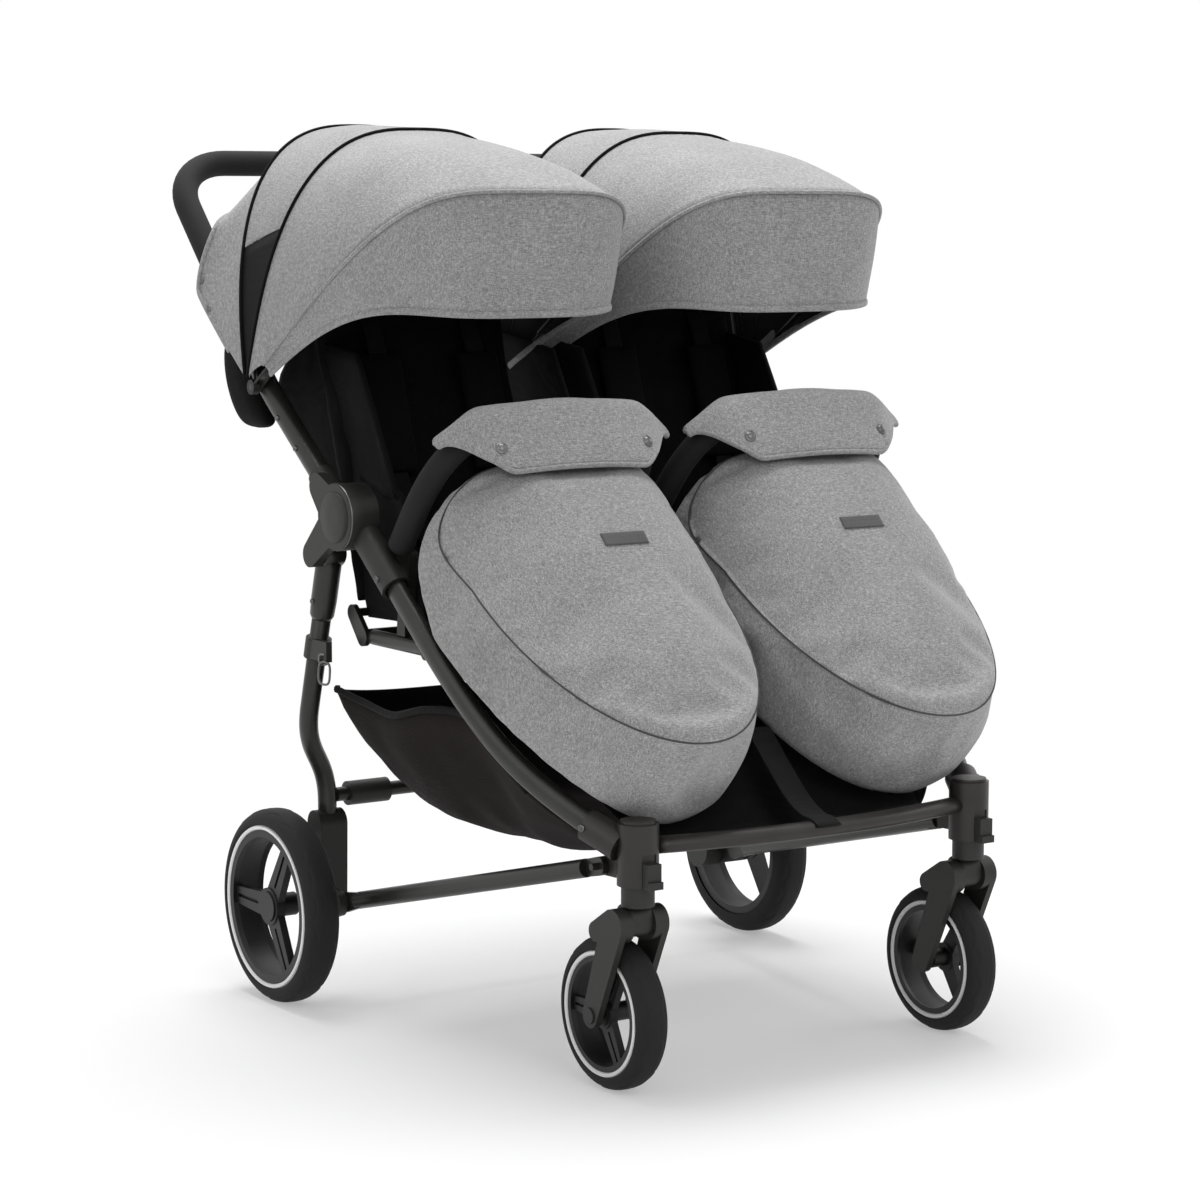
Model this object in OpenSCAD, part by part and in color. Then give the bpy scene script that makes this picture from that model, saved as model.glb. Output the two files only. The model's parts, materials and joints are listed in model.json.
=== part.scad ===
// Side by side double stroller, in mm, Z up, front towards -Y

/* [Wheels] */
// outside diameter of a rear tyre
rear_wheel_d = 237; // [180:1:320]
// width of a rear tyre
rear_tyre_w = 45; // [30:1:70]
// outside diameter of a front tyre
front_wheel_d = 171; // [120:1:240]
// width of a front tyre
front_tyre_w = 40; // [28:1:60]
// outside diameter of the rear white ring
rear_ring_d = 199; // [150:1:280]
// outside diameter of the front white ring
front_ring_d = 140; // [90:1:200]
// radial width of the white rings
ring_band = 6; // [3:0.5:12]
// diameter of the wheel axles
axle_d = 10; // [6:0.5:16]
// diameter of the rear wheel hub
rear_boss_d = 46; // [30:1:70]
// diameter of the front wheel hub
front_boss_d = 34; // [20:1:50]

/* [Stance] */
// rear wheel middle from the centre line
rear_wheel_x = 350; // [280:1:420]
// rear axle behind the frame datum
rear_axle_y = 199; // [150:1:260]
// caster axis from the centre line
caster_x = 232; // [180:1:300]
// caster axis ahead of the frame datum
caster_y = 399; // [330:1:460]
// front axle behind the caster axis
caster_trail = 47; // [30:1:70]

/* [Frame] */
// folding hub from the centre line
hub_x = 332; // [280:1:380]
// folding hub behind the frame datum
hub_y = 38; // [0:1:90]
// height of the folding hub
hub_z = 606; // [520:1:700]
// diameter of the folding hub
hub_d = 78; // [60:1:100]
// thickness of the inner hub shell
hub_shell_t = 22; // [14:1:30]
// thickness of the outer hub cap
hub_cap_t = 16; // [10:1:24]
// diameter of the handle tube
tube_d = 26; // [20:1:32]
// handle tube from the centre line
handle_x = 343; // [300:1:380]
// handle tube length from hub to canopy pivot
lower_tube_len = 237; // [180:1:300]
// handle tube length from canopy pivot to crossbar
upper_tube_len = 374; // [300:1:450]
// bend radius of the handle corners
handle_bend_r = 78; // [50:1:110]
// diameter of the foam grip
grip_d = 32; // [28:1:40]
// length of grip down each side
grip_down = 128; // [60:1:180]
// in-plane width of the front leg tube
leg_w = 28; // [22:1:36]
// thickness of the front leg tube
leg_t = 22; // [16:1:30]
// length of the leg sleeve below the hub
sleeve_len = 122; // [90:1:150]
// outside diameter of the leg sleeve
sleeve_d = 36; // [30:1:44]
// rear leg from the centre line at its top
rear_leg_x = 331; // [280:1:380]
// rear leg from the centre line at its foot
rear_foot_x = 289; // [240:1:340]
// diameter of the rear leg tube
rear_leg_d = 23; // [18:1:30]
// diameter of the rear leg sleeve
rear_sleeve_d = 30; // [24:1:38]
// rear leg pivot behind the frame datum
leg_pivot_y = 100; // [70:1:130]
// height of the rear leg pivot
leg_pivot_z = 557; // [500:1:620]
// lower link rear pivot behind the frame datum
link_rear_y = 142; // [110:1:170]
// height of the lower link rear pivot
link_rear_z = 125; // [90:1:160]
// lower link front pivot ahead of the frame datum
link_front_y = 350; // [300:1:390]
// height of the lower link front pivot
link_front_z = 250; // [210:1:290]
// diameter of the lower link
link_d = 21; // [14:1:26]
// width of the oval front cross tube
cross_w = 26; // [18:1:34]
// height of the oval front cross tube
cross_h = 19; // [12:1:26]
// height of the front cross tube
cross_z = 277; // [250:1:310]
// forward bow of the front cross tube
cross_bow = 24; // [0:1:50]
// diameter of the front caster housing
housing_d = 46; // [38:1:56]
// height of the housing bottom
housing_z = 236; // [215:1:255]
// height of the housing
housing_h = 68; // [50:1:90]

/* [Seats] */
// seat centre from the centre line
seat_x = 171; // [140:1:200]
// width of a seat pad
pad_w = 250; // [220:1:310]
// length of a seat pad
pad_len = 226; // [200:1:290]
// thickness of a seat pad
pad_t = 36; // [20:1:60]
// height of the seat frame tubes
seat_z = 462; // [420:1:500]
// diameter of the seat frame tubes
seat_tube_d = 18; // [12:1:24]
// width of a backrest
back_w = 280; // [240:1:310]
// length of a backrest
back_len = 425; // [340:1:480]
// thickness of a backrest
back_t = 34; // [20:1:60]
// backrest hinge behind the frame datum
back_y = 74; // [50:1:100]
// height of the backrest hinge
back_z = 488; // [450:1:520]
// diameter of the backrest hinge rod
rod_d = 10; // [6:0.5:14]

/* [Bumper and footmuff] */
// diameter of the foam bumper bar
bar_d = 30; // [22:1:36]
// half width of the bumper bar arch
bar_half = 146; // [110:1:170]
// height of the bumper bar ends
bar_end_z = 588; // [540:1:640]
// rise of the bumper bar arch
bar_rise = 137; // [100:1:170]
// bumper bar ends ahead of the frame datum
bar_end_y = 50; // [20:1:80]
// forward reach of the bumper bar arch
bar_reach = 104; // [70:1:140]
// half width of a footmuff
muff_half = 158; // [110:1:170]
// length of a footmuff front panel
muff_len = 418; // [360:1:500]
// crown of the front panel ahead of its datum line
muff_crown = 22; // [10:1:50]
// toe seam ahead of the panel datum line
muff_toe = 8; // [0:1:50]
// side seam behind the panel datum line
muff_seam = 50; // [20:1:90]
// seam beside the bar behind the panel datum line
muff_heel = 101; // [60:1:130]
// open rim behind the panel datum line
muff_rim = 142; // [110:1:170]
// wall of a padded footmuff
muff_wall = 9; // [5:0.5:16]
// footmuff top ahead of the frame datum
muff_top_y = 150; // [120:1:190]
// height of the footmuff top
muff_top_z = 694; // [640:1:760]
// thickness of the snap flap
flap_t = 7; // [3:0.5:12]
// hang of the snap flap in front of the bar
flap_drop = 62; // [30:1:90]

/* [Canopy] */
// outer bow leg from the centre line
bow_out_x = 362; // [320:1:400]
// inner bow leg from the centre line
bow_in_x = 18; // [12:1:40]
// reach of the rear bow from its pivot
rear_bow_r = 307; // [260:1:380]
// reach of the middle fold from the pivot
mid_bow_r = 311; // [260:1:380]
// reach of the front bow from its pivot
front_bow_r = 415; // [340:1:480]
// reach of the hem from the pivot
hem_r = 364; // [300:1:440]
// reach of the rear edge from the pivot
rear_edge_r = 298; // [240:1:360]
// diameter of the bow wire
bow_d = 6; // [4:0.5:9]
// length of the hinge plate at the foot of each canopy
mount_len = 90; // [60:1:110]
// thickness of the canopy fabric
cloth_t = 3; // [2:0.5:5]
// clearance of the fabric round the bows
cloth_gap = 4; // [3.5:0.5:8]

/* [Basket and fabric] */
// half width of the basket at the rear
basket_half = 292; // [240:1:310]
// height of the basket rim at the rear
basket_rim_z = 385; // [350:1:420]
// height of the basket floor at the rear
basket_floor_z = 300; // [270:1:330]
// basket rear wall behind the frame datum
basket_rear_y = 148; // [110:1:160]

/* [Fits] */
// radial running clearance
run_fit = 0.05; // [0.01:0.01:0.1]
// clearance of a seated or butted piece
seat_gap = 0.3; // [0.2:0.05:0.5]
// overrun of the cuts
overrun = 2; // [1:0.5:4]

/* [Hidden] */
$fn = 48;

// angles of the frame in the side view, from the rearward direction
lower_tube_a = 36.8;
upper_tube_a = 46;
leg_start_a = 218.4;
back_a = 72;
muff_a = 227.8;
rear_edge_a = 39;
rear_bow_a = 80;
mid_bow_a = 108;
front_bow_a = 147;
hem_a = 165;

// main places in the side view
rear_r = rear_wheel_d / 2;
front_r = front_wheel_d / 2;
front_axle_y = caster_trail - caster_y;
front_edge = front_axle_y - front_r;
hub = [-hub_x, hub_y, hub_z];
pivot_y = hub_y + lower_tube_len * cos(lower_tube_a);
pivot_z = hub_z + lower_tube_len * sin(lower_tube_a);
bar_y = pivot_y + upper_tube_len * cos(upper_tube_a);
bar_z = pivot_z + upper_tube_len * sin(upper_tube_a);
rear_edge = bar_y + grip_d / 2;
origin_y = (front_edge + rear_edge) / 2;
pivot_r = axle_d * 0.4;
shell_in = hub_x - hub_shell_t / 2;
shell_out = hub_x + hub_shell_t / 2;
cap_out = shell_out + seat_gap + hub_cap_t;
pad_z = seat_z + seat_tube_d / 2 - pad_t * 0.018;

function unit(v) = v / norm(v);
function mix(a, b, t) = a + (b - a) * t;
function bez(a, b, c, d, t) = a * pow(1 - t, 3) + b * 3 * t * pow(1 - t, 2)
    + c * 3 * t * t * (1 - t) + d * pow(t, 3);
function bez_path(a, b, c, d, n) = [for (i = [0 : n]) bez(a, b, c, d, i / n)];
function spow(v, e) = sign(v) * pow(abs(v), e);
function backwards(v) = [for (i = [len(v) - 1 : -1 : 0]) v[i]];
function tangent(p, i) = unit(p[min(i + 1, len(p) - 1)] - p[max(i - 1, 0)]);
function mean(v, i = 0) = i == len(v) - 1 ? v[i] / len(v) : v[i] / len(v) + mean(v, i + 1);

// closed rings joined in order, with both ends capped round their middles
module loft(rings) {
    n = len(rings[0]);
    m = len(rings);
    pts = concat([for (r = rings) each r], [mean(rings[0]), mean(rings[m - 1])]);
    walls = [for (i = [0 : m - 2], j = [0 : n - 1]) let(k = (j + 1) % n)
        each [[i * n + j, i * n + n + j, i * n + n + k], [i * n + j, i * n + n + k, i * n + k]]];
    caps = [for (j = [0 : n - 1]) let(k = (j + 1) % n)
        each [[m * n, j, k], [m * n + 1, m * n - n + k, m * n - n + j]]];
    polyhedron(pts, concat(walls, caps), convexity = 6);
}

// a tube of oval section swept along a path, up being the direction of the first radius
module sweep(path, ra, rb, up, sides = 16) {
    loft([for (i = [0 : len(path) - 1])
        let(t = tangent(path, i), b = unit(cross(t, up)), m = cross(b, t))
        [for (j = [0 : sides - 1]) path[i] + m * ra * cos(360 * j / sides) + b * rb * sin(360 * j / sides)]]);
}

// a sheet with thickness between two grids of points
module sheet(top, low) {
    m = len(top) - 1;
    n = len(top[0]) - 1;
    w = n + 1;
    s = (m + 1) * w;
    pts = concat([for (r = top) each r], [for (r = low) each r]);
    skins = [for (i = [0 : m - 1], j = [0 : n - 1]) let(a = i * w + j, b = a + w)
        each [[a, a + 1, b + 1], [a, b + 1, b], [s + a, s + b, s + b + 1], [s + a, s + b + 1, s + a + 1]]];
    sides = [for (i = [0 : m - 1]) let(a = i * w, b = a + w, c = a + n, d = b + n)
        each [[a, b, s + b], [a, s + b, s + a], [d, c, s + c], [d, s + c, s + d]]];
    ends = [for (j = [0 : n - 1]) let(a = j, b = j + 1, c = m * w + j, d = c + 1)
        each [[b, a, s + a], [b, s + a, s + b], [c, d, s + d], [c, s + d, s + c]]];
    polyhedron(pts, concat(skins, sides, ends), convexity = 6);
}

// outlines in the side view drawn out along X
module along_x() {
    rotate([90, 0, 90]) children();
}

module rod_x(p, r, x0, x1) {
    along_x() translate([p.x, p.y, x0]) cylinder(r = r, h = x1 - x0);
}

// a strap with round ends between two places in the side view
module strap_x(a, ra, b, rb, x0, x1) {
    t = unit(b - a);
    turn = asin((ra - rb) / norm(b - a));
    n = [t.x * sin(turn) - t.y * cos(turn), t.y * sin(turn) + t.x * cos(turn)];
    o = [t.x * sin(turn) + t.y * cos(turn), t.y * sin(turn) - t.x * cos(turn)];
    rod_x(a, ra, x0, x1);
    rod_x(b, rb, x0, x1);
    along_x() translate([0, 0, x0]) linear_extrude(x1 - x0)
        polygon([a + n * ra, a + o * ra, b + o * rb, b + n * rb]);
}

// a round bar between two points
module bar(a, b, r) {
    d = b - a;
    translate(a) rotate([0, acos(d.z / norm(d)), atan2(d.y, d.x)]) cylinder(r = r, h = norm(d));
}

module placed() {
    translate([0, -origin_y, 0]) children();
}

module right() {
    mirror([1, 0, 0]) children();
}

// handle tube path, from the left hub over the crossbar to the right hub
function side_at(x, s) = s < lower_tube_len
    ? [x, hub_y + s * cos(lower_tube_a), hub_z + s * sin(lower_tube_a)]
    : let(t = s - lower_tube_len) [x, pivot_y + t * cos(upper_tube_a), pivot_z + t * sin(upper_tube_a)];
handle_len = lower_tube_len + upper_tube_len;
handle_start = hub_d * 0.62;
kink = lower_tube_len * 0.12;
function handle_arm(from) = concat(
    from < lower_tube_len - kink ? [side_at(-handle_x, from), side_at(-handle_x, lower_tube_len - kink),
        side_at(-handle_x, lower_tube_len + kink)] : [side_at(-handle_x, from)],
    [side_at(-handle_x, handle_len - handle_bend_r)],
    [for (a = [15 : 15 : 90]) side_at(-handle_x + handle_bend_r * (1 - cos(a)),
        handle_len - handle_bend_r * (1 - sin(a)))]);
function over(path) = concat(path, [for (p = backwards(path)) [-p.x, p.y, p.z]]);
handle_up = [0, -sin(upper_tube_a), cos(upper_tube_a)];

module handle_tube() color("#2c2d2a") {
    sweep(over(handle_arm(handle_start)), tube_d / 2, tube_d / 2, handle_up, 14);
}

// the foam is hollow round the tube
module handle_grip() color("#1b1b1b") {
    from = handle_len - grip_down - handle_bend_r;
    ring_r = tube_d / 2 + seat_gap;
    difference() {
        sweep(over(handle_arm(from)), grip_d / 2, grip_d / 2, handle_up, 18);
        sweep(over(handle_arm(from - overrun)), ring_r, ring_r, handle_up, 14);
    }
}

// the tube is socketed in a neck on the cap's rim, and the ear below carries the rear leg
module hub_cap_left() color("#2b2b29") {
    d = [cos(lower_tube_a), sin(lower_tube_a)];
    h = [hub_y, hub_z];
    p = [leg_pivot_y, leg_pivot_z];
    neck_r = tube_d * 0.62;
    ear_t = hub_cap_t * 0.7;
    difference() {
        union() {
            rod_x(h, hub_d / 2, -cap_out, -shell_out - seat_gap);
            rod_x(h, hub_d * 0.36, -cap_out - hub_cap_t * 0.12, -cap_out + hub_cap_t * 0.2);
            bar([-handle_x, each (h + d * hub_d * 0.53)], [-handle_x, each (h + d * hub_d * 0.95)], neck_r);
            strap_x(h, hub_d * 0.36, h + d * hub_d * 0.7, neck_r, -handle_x - neck_r, -shell_out - seat_gap);
            strap_x(h, hub_d * 0.3, p, rear_sleeve_d * 0.5, -cap_out, -cap_out + ear_t);
        }
        bar([-handle_x, each (h + d * handle_start)], [-handle_x, each (h + d * hub_d)],
            tube_d / 2 + seat_gap);
    }
    rod_x(h, pivot_r * 2, -shell_out - seat_gap - overrun, -shell_in);
    rod_x(p, pivot_r, -cap_out + ear_t / 2, -rear_leg_x + rear_sleeve_d * 0.3);
}

// the inner half of the hub with the sleeve that takes the front leg
leg_d = [cos(leg_start_a), sin(leg_start_a)];
function leg_at(s) = [-hub_x, hub_y + s * leg_d.x, hub_z + s * leg_d.y];
leg_in = sleeve_len * 0.66;
module hub_shell_left() color("#262625") {
    h = [hub_y, hub_z];
    difference() {
        union() {
            rod_x(h, hub_d / 2, -shell_out, -shell_in);
            bar(leg_at(hub_d * 0.3), leg_at(sleeve_len), sleeve_d / 2);
        }
        rod_x(h, pivot_r * 2 + run_fit, -shell_out - overrun, -shell_in + overrun);
        rod_x(h, hub_d / 2 + seat_gap, -shell_out - hub_shell_t, -shell_out);
        bar(leg_at(leg_in - seat_gap), leg_at(sleeve_len + overrun), leg_w / 2 + seat_gap);
    }
}

// the front leg curves from the sleeve down, forward and inward to the caster housing
leg_end = [-caster_x - housing_d * 0.43, -caster_y + housing_d * 0.6, cross_z + housing_d * 0.2];
leg_dir = unit([0.37, -0.83, -0.42]);
module front_leg_left() color("#2e2f2b") {
    a = leg_at(sleeve_len);
    reach = norm(leg_end - a);
    curve = bez_path(a, a + [0, leg_d.x, leg_d.y] * reach * 0.55, leg_end - leg_dir * reach * 0.37,
        leg_end, 14);
    sweep(concat([leg_at(leg_in)], curve), leg_w / 2, leg_t / 2, [0, -leg_d.y, leg_d.x], 14);
}

module front_cross_tube() color("#2c2a28") {
    path = [for (i = [-8 : 8]) let(x = cross_end * i / 8) [x, cross_y(x), cross_z]];
    sweep(path, cross_w / 2, cross_h / 2, [0, 1, 0], 14);
}

// caster housing with the leg socket, link lug and lock guide
module front_housing_left() color("#2b2927") {
    c = [-caster_x, -caster_y, housing_z];
    link_x = -caster_x - link_d * 0.9;
    back = leg_end - leg_dir * housing_d * 0.6;
    difference() {
        union() {
            translate(c) cylinder(d = housing_d, h = housing_h);
            translate(c + [0, 0, housing_h]) cylinder(d = housing_d * 0.86, h = housing_h * 0.05);
            bar(leg_end + leg_dir * housing_d * 0.4, back, leg_w * 0.68);
            strap_x([-caster_y, housing_z + housing_h * 0.3], housing_h * 0.22, [-link_front_y, link_front_z],
                link_d * 0.5, link_x + link_d * 0.35, link_x + link_d * 0.8);
        }
        bar(leg_end + leg_dir * seat_gap, back - leg_dir * overrun, leg_w / 2 + seat_gap);
        translate([-caster_x - housing_d * 0.2, -caster_y - housing_d * 0.8, housing_z - overrun])
            cube([housing_d * 0.4, housing_d * 0.37, housing_h * 0.56]);
        translate(c - [0, 0, overrun]) cylinder(r = housing_d * 0.19 + run_fit, h = housing_h * 0.75);
    }
    rod_x([-link_front_y, link_front_z], pivot_r, link_x - link_d * 0.45, link_x + link_d * 0.5);
}

// the lock tab slides up and down in the guide
module swivel_lock_left() color("#232323") {
    w = housing_d * 0.4 - seat_gap * 2;
    y = -caster_y - housing_d * 0.43 - seat_gap;
    translate([-caster_x - w / 2, y - housing_d * 0.26, housing_z]) {
        cube([w, housing_d * 0.26, housing_h * 0.4]);
        translate([0, -housing_d * 0.08, 0]) cube([w, housing_d * 0.2, housing_h * 0.12]);
    }
}

// a rim shows three wide grooved spokes between a deep band and a capped hub
module spokes(r, boss_r, w, thick) {
    for (k = [0 : 2]) rotate([0, 0, 90 + 120 * k]) difference() {
        translate([boss_r * 0.5, 0, 0]) linear_extrude(thick)
            polygon([[0, -w * 0.62], [r - boss_r * 0.5, -w * 0.42], [r - boss_r * 0.5, w * 0.42],
                [0, w * 0.62]]);
        translate([boss_r * 1.25, -w * 0.09, thick * 0.6]) cube([r - boss_r * 1.6, w * 0.18, thick]);
    }
}

// built with its axis on Z, the outer face up and its middle at zero
module rim(band_r, tyre_w, boss_r, pin_r, bore) {
    wall = band_r * 0.07;
    half = tyre_w * 0.46;
    difference() {
        union() {
            rotate_extrude() polygon([[band_r, -half], [band_r, half], [band_r - wall * 1.3, half],
                [band_r - wall, half * 0.6], [band_r - wall, -half * 0.7], [band_r - wall * 1.4, -half]]);
            translate([0, 0, half * 0.3]) spokes(band_r - wall * 0.5, boss_r, boss_r * 1.05, half * 0.45);
            translate([0, 0, -half * 0.9]) cylinder(r = boss_r * 0.62, h = half * 1.4);
            translate([0, 0, half * 0.25]) cylinder(r = boss_r, h = half * 0.58);
            translate([0, 0, half * 0.8]) cylinder(r = boss_r * 0.8, h = half * 0.14);
        }
        translate([0, 0, -half - overrun]) cylinder(r = pin_r + run_fit, h = half * bore + overrun);
    }
}

// a crowned tyre with small shoulder notches
module tyre(r, w, inner_r) {
    steps = 14;
    outline = [for (i = [0 : steps]) let(a = 180 * i / steps)
        [inner_r + (r - inner_r) * pow(sin(a), 0.55), w / 2 * spow(cos(a), 0.8)]];
    rotate_extrude() polygon(outline);
}

module ring(r, band, tyre_w, inner) {
    translate([0, 0, tyre_w * 0.44]) rotate_extrude()
        polygon([[inner, 0], [r, 0], [r - band * 0.2, tyre_w * 0.05], [inner + band * 0.2, tyre_w * 0.05]]);
}

rear_band_r = rear_ring_d / 2 - ring_band;
front_band_r = front_ring_d / 2 - ring_band;
tyre_seat_rear = rear_band_r + seat_gap;
tyre_seat_front = front_band_r + seat_gap;

module at_rear_wheel() {
    translate([-rear_wheel_x, rear_axle_y, rear_r]) rotate([0, -90, 0]) children();
}

module at_front_wheel() {
    translate([-caster_x, front_axle_y, front_r]) rotate([0, -90, 0]) children();
}

// the ring lies in a shallow step of the tyre's outer face
module rear_tyre_left() color("#191919") at_rear_wheel() difference() {
    tyre(rear_r, rear_tyre_w, tyre_seat_rear);
    translate([0, 0, rear_tyre_w * 0.44 - seat_gap])
        cylinder(r = rear_ring_d / 2 + seat_gap, h = rear_tyre_w);
}

module rear_rim_left() color("#222222") at_rear_wheel()
    rim(rear_band_r, rear_tyre_w, rear_boss_d / 2, axle_d / 2, 1.75);

module rear_ring_left() color("#f2f2f0") at_rear_wheel()
    ring(rear_ring_d / 2, ring_band, rear_tyre_w, tyre_seat_rear);

module front_tyre_left() color("#191919") at_front_wheel() difference() {
    tyre(front_r, front_tyre_w, tyre_seat_front);
    for (s = [0, 1]) mirror([0, 0, s]) translate([0, 0, front_tyre_w * 0.44 - seat_gap])
        cylinder(r = front_ring_d / 2 + seat_gap, h = front_tyre_w);
}

module front_rim_left() color("#222222") at_front_wheel()
    rim(front_band_r, front_tyre_w, front_boss_d / 2, axle_d / 2, 2.2);

module front_ring_left() color("#f2f2f0") at_front_wheel() for (s = [0, 1]) mirror([0, 0, s])
    ring(front_ring_d / 2, ring_band, front_tyre_w, tyre_seat_front);

// the caster head turns in the housing and carries the fork pivot
neck_r = housing_d * 0.4;
susp_y = -caster_y + housing_d * 0.1;
susp_z = front_wheel_d + housing_d * 0.46;
lug_half = front_tyre_w * 0.34;
module caster_head_left() color("#2a2a28") {
    c = [-caster_x, -caster_y, 0];
    translate(c + [0, 0, housing_z - housing_d * 0.2])
        cylinder(r = housing_d * 0.19, h = housing_h * 0.62 + housing_d * 0.2);
    translate(c + [0, 0, housing_z - housing_d * 0.5]) cylinder(r = neck_r, h = housing_d * 0.5 - seat_gap);
    strap_x([-caster_y + housing_d * 0.15, susp_z + housing_d * 0.16], housing_d * 0.34, [susp_y, susp_z],
        housing_d * 0.3, -caster_x - lug_half, -caster_x + lug_half);
    rod_x([susp_y, susp_z], pivot_r, -caster_x - fork_half, -caster_x + fork_half);
}

// two cheeks and a crown over the tyre
fork_in = front_tyre_w / 2 + ring_band * 0.6;
fork_half = fork_in + axle_d * 0.8;
module fork_left() color("#292927") {
    p = [susp_y, susp_z];
    a = [front_axle_y, front_r];
    crown = [front_axle_y - housing_d * 0.2, front_wheel_d + housing_d * 0.22];
    difference() {
        union() {
            for (s = [0, 1]) translate([-caster_x, 0, 0]) mirror([s, 0, 0]) {
                strap_x(p, housing_d * 0.42, a, housing_d * 0.3, fork_in, fork_half);
                strap_x(p, housing_d * 0.42, crown, housing_d * 0.24, lug_half + seat_gap, fork_half);
            }
            rod_x(a, axle_d * 0.9, -caster_x - fork_half - axle_d * 0.2,
                -caster_x - fork_half + axle_d * 0.2);
            rod_x(crown, housing_d * 0.16, -caster_x - fork_half, -caster_x + fork_half);
        }
        rod_x(p, pivot_r + run_fit, -caster_x - fork_half - overrun, -caster_x + fork_half + overrun);
        rod_x(a, front_r + ring_band * 0.8, -caster_x - fork_in, -caster_x + fork_in);
    }
    rod_x(a, axle_d / 2, -caster_x - fork_half, -caster_x + fork_half);
}

// rear leg: straight from its pivot, then joggled inward to clear the wheel
leg_bend = [-rear_leg_x, leg_pivot_y + (leg_pivot_z - link_rear_z) * 0.125, leg_pivot_z * 0.66];
leg_foot = [-rear_foot_x, rear_axle_y - rear_leg_d * 0.4, rear_r * 1.62];
module rear_leg_left() color("#2c2d2a") {
    p = [-rear_leg_x, leg_pivot_y, leg_pivot_z];
    low = leg_foot + [0, 0, rear_r * 0.42];
    d1 = unit(leg_bend - p);
    span = norm(low - leg_bend);
    curve = bez_path(leg_bend, leg_bend + d1 * span * 0.5, low + [0, 0, span * 0.45], low, 10);
    difference() {
        union() {
            sweep(concat([p + d1 * rear_sleeve_d * 0.4], curve, [leg_foot]), rear_leg_d / 2, rear_leg_d / 2,
                [1, 0, 0], 14);
            bar(p, p + d1 * (leg_pivot_z - basket_rim_z) * 0.48, rear_sleeve_d / 2);
            rod_x([p.y, p.z], rear_sleeve_d * 0.52, -rear_leg_x - rear_sleeve_d * 0.42,
                -rear_leg_x + rear_sleeve_d * 0.5);
        }
        rod_x([p.y, p.z], pivot_r + run_fit, -rear_leg_x - rear_sleeve_d, -rear_leg_x + rear_sleeve_d);
        rod_x([p.y, p.z], rear_sleeve_d * 0.7, -cap_out - overrun, -cap_out + hub_cap_t * 0.7 + seat_gap);
    }
}

// the foot carries the axle, the wheel and the lug beside the link
module rear_feet() color("#232322") for (s = [0, 1]) mirror([s, 0, 0]) {
    axle = [rear_axle_y, rear_r];
    in_x = -rear_foot_x - rear_leg_d * 0.8;
    out_x = -rear_foot_x + rear_leg_d * 0.8;
    lug = [link_rear_y, link_rear_z];
    difference() {
        union() {
            strap_x([leg_foot.y, leg_foot.z + rear_leg_d], rear_leg_d * 0.75, axle, rear_leg_d * 1.05,
                in_x, out_x);
            strap_x(axle, rear_leg_d, lug, link_d * 0.75, in_x, in_x + link_d * 0.5);
            rod_x(axle, axle_d * 1.1, -rear_wheel_x + rear_tyre_w / 2 + seat_gap, in_x + overrun);
        }
        translate([leg_foot.x, leg_foot.y, leg_foot.z - seat_gap])
            cylinder(d = rear_leg_d + seat_gap * 2, h = rear_r);
    }
    rod_x(axle, axle_d / 2, -rear_wheel_x - rear_tyre_w * 0.3, in_x);
    rod_x(lug, pivot_r * 1.2, in_x - pivot_r, in_x + overrun);
}

module rear_cross_tube() color("#2c2d2a") {
    y = leg_foot.y;
    z = leg_foot.z + rear_r * 0.48;
    x = rear_foot_x - rear_leg_d / 2 - seat_gap;
    rod_x([y, z], rear_leg_d * 0.38, -x, x);
}

// clamps with a forward plate on the rear legs
module leg_brackets() color("#2a2a28") for (s = [0, 1]) mirror([s, 0, 0]) {
    d1 = unit(leg_bend - [-rear_leg_x, leg_pivot_y, leg_pivot_z]);
    c = [-rear_leg_x, leg_pivot_y, leg_pivot_z] + d1 * (leg_pivot_z - basket_rim_z) * 0.7;
    h = rear_sleeve_d * 0.8;
    difference() {
        union() {
            bar(c - d1 * h / 2, c + d1 * h / 2, rear_leg_d * 0.68);
            translate([-rear_leg_x - rear_leg_d * 0.6, c.y - rear_leg_d * 2, c.z - h / 2])
                cube([rear_leg_d * 0.34, rear_leg_d * 2, h]);
        }
        bar(c - d1 * h, c + d1 * h, rear_leg_d / 2 + seat_gap);
    }
}

// the pedal rocks on the cross tube beside the left leg
module brake_pedal() color("#202020") {
    y = leg_foot.y;
    z = leg_foot.z + rear_r * 0.48;
    x0 = -rear_foot_x + rear_leg_d * 1.2;
    w = rear_leg_d * 2.4;
    r = rear_leg_d * 0.38;
    difference() {
        union() {
            rod_x([y, z], r * 1.7, x0, x0 + w);
            translate([x0, y, z - r * 1.2]) cube([w, rear_leg_d * 1.9, r * 0.9]);
        }
        rod_x([y, z], r + run_fit, x0 - overrun, x0 + w + overrun);
    }
}

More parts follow.
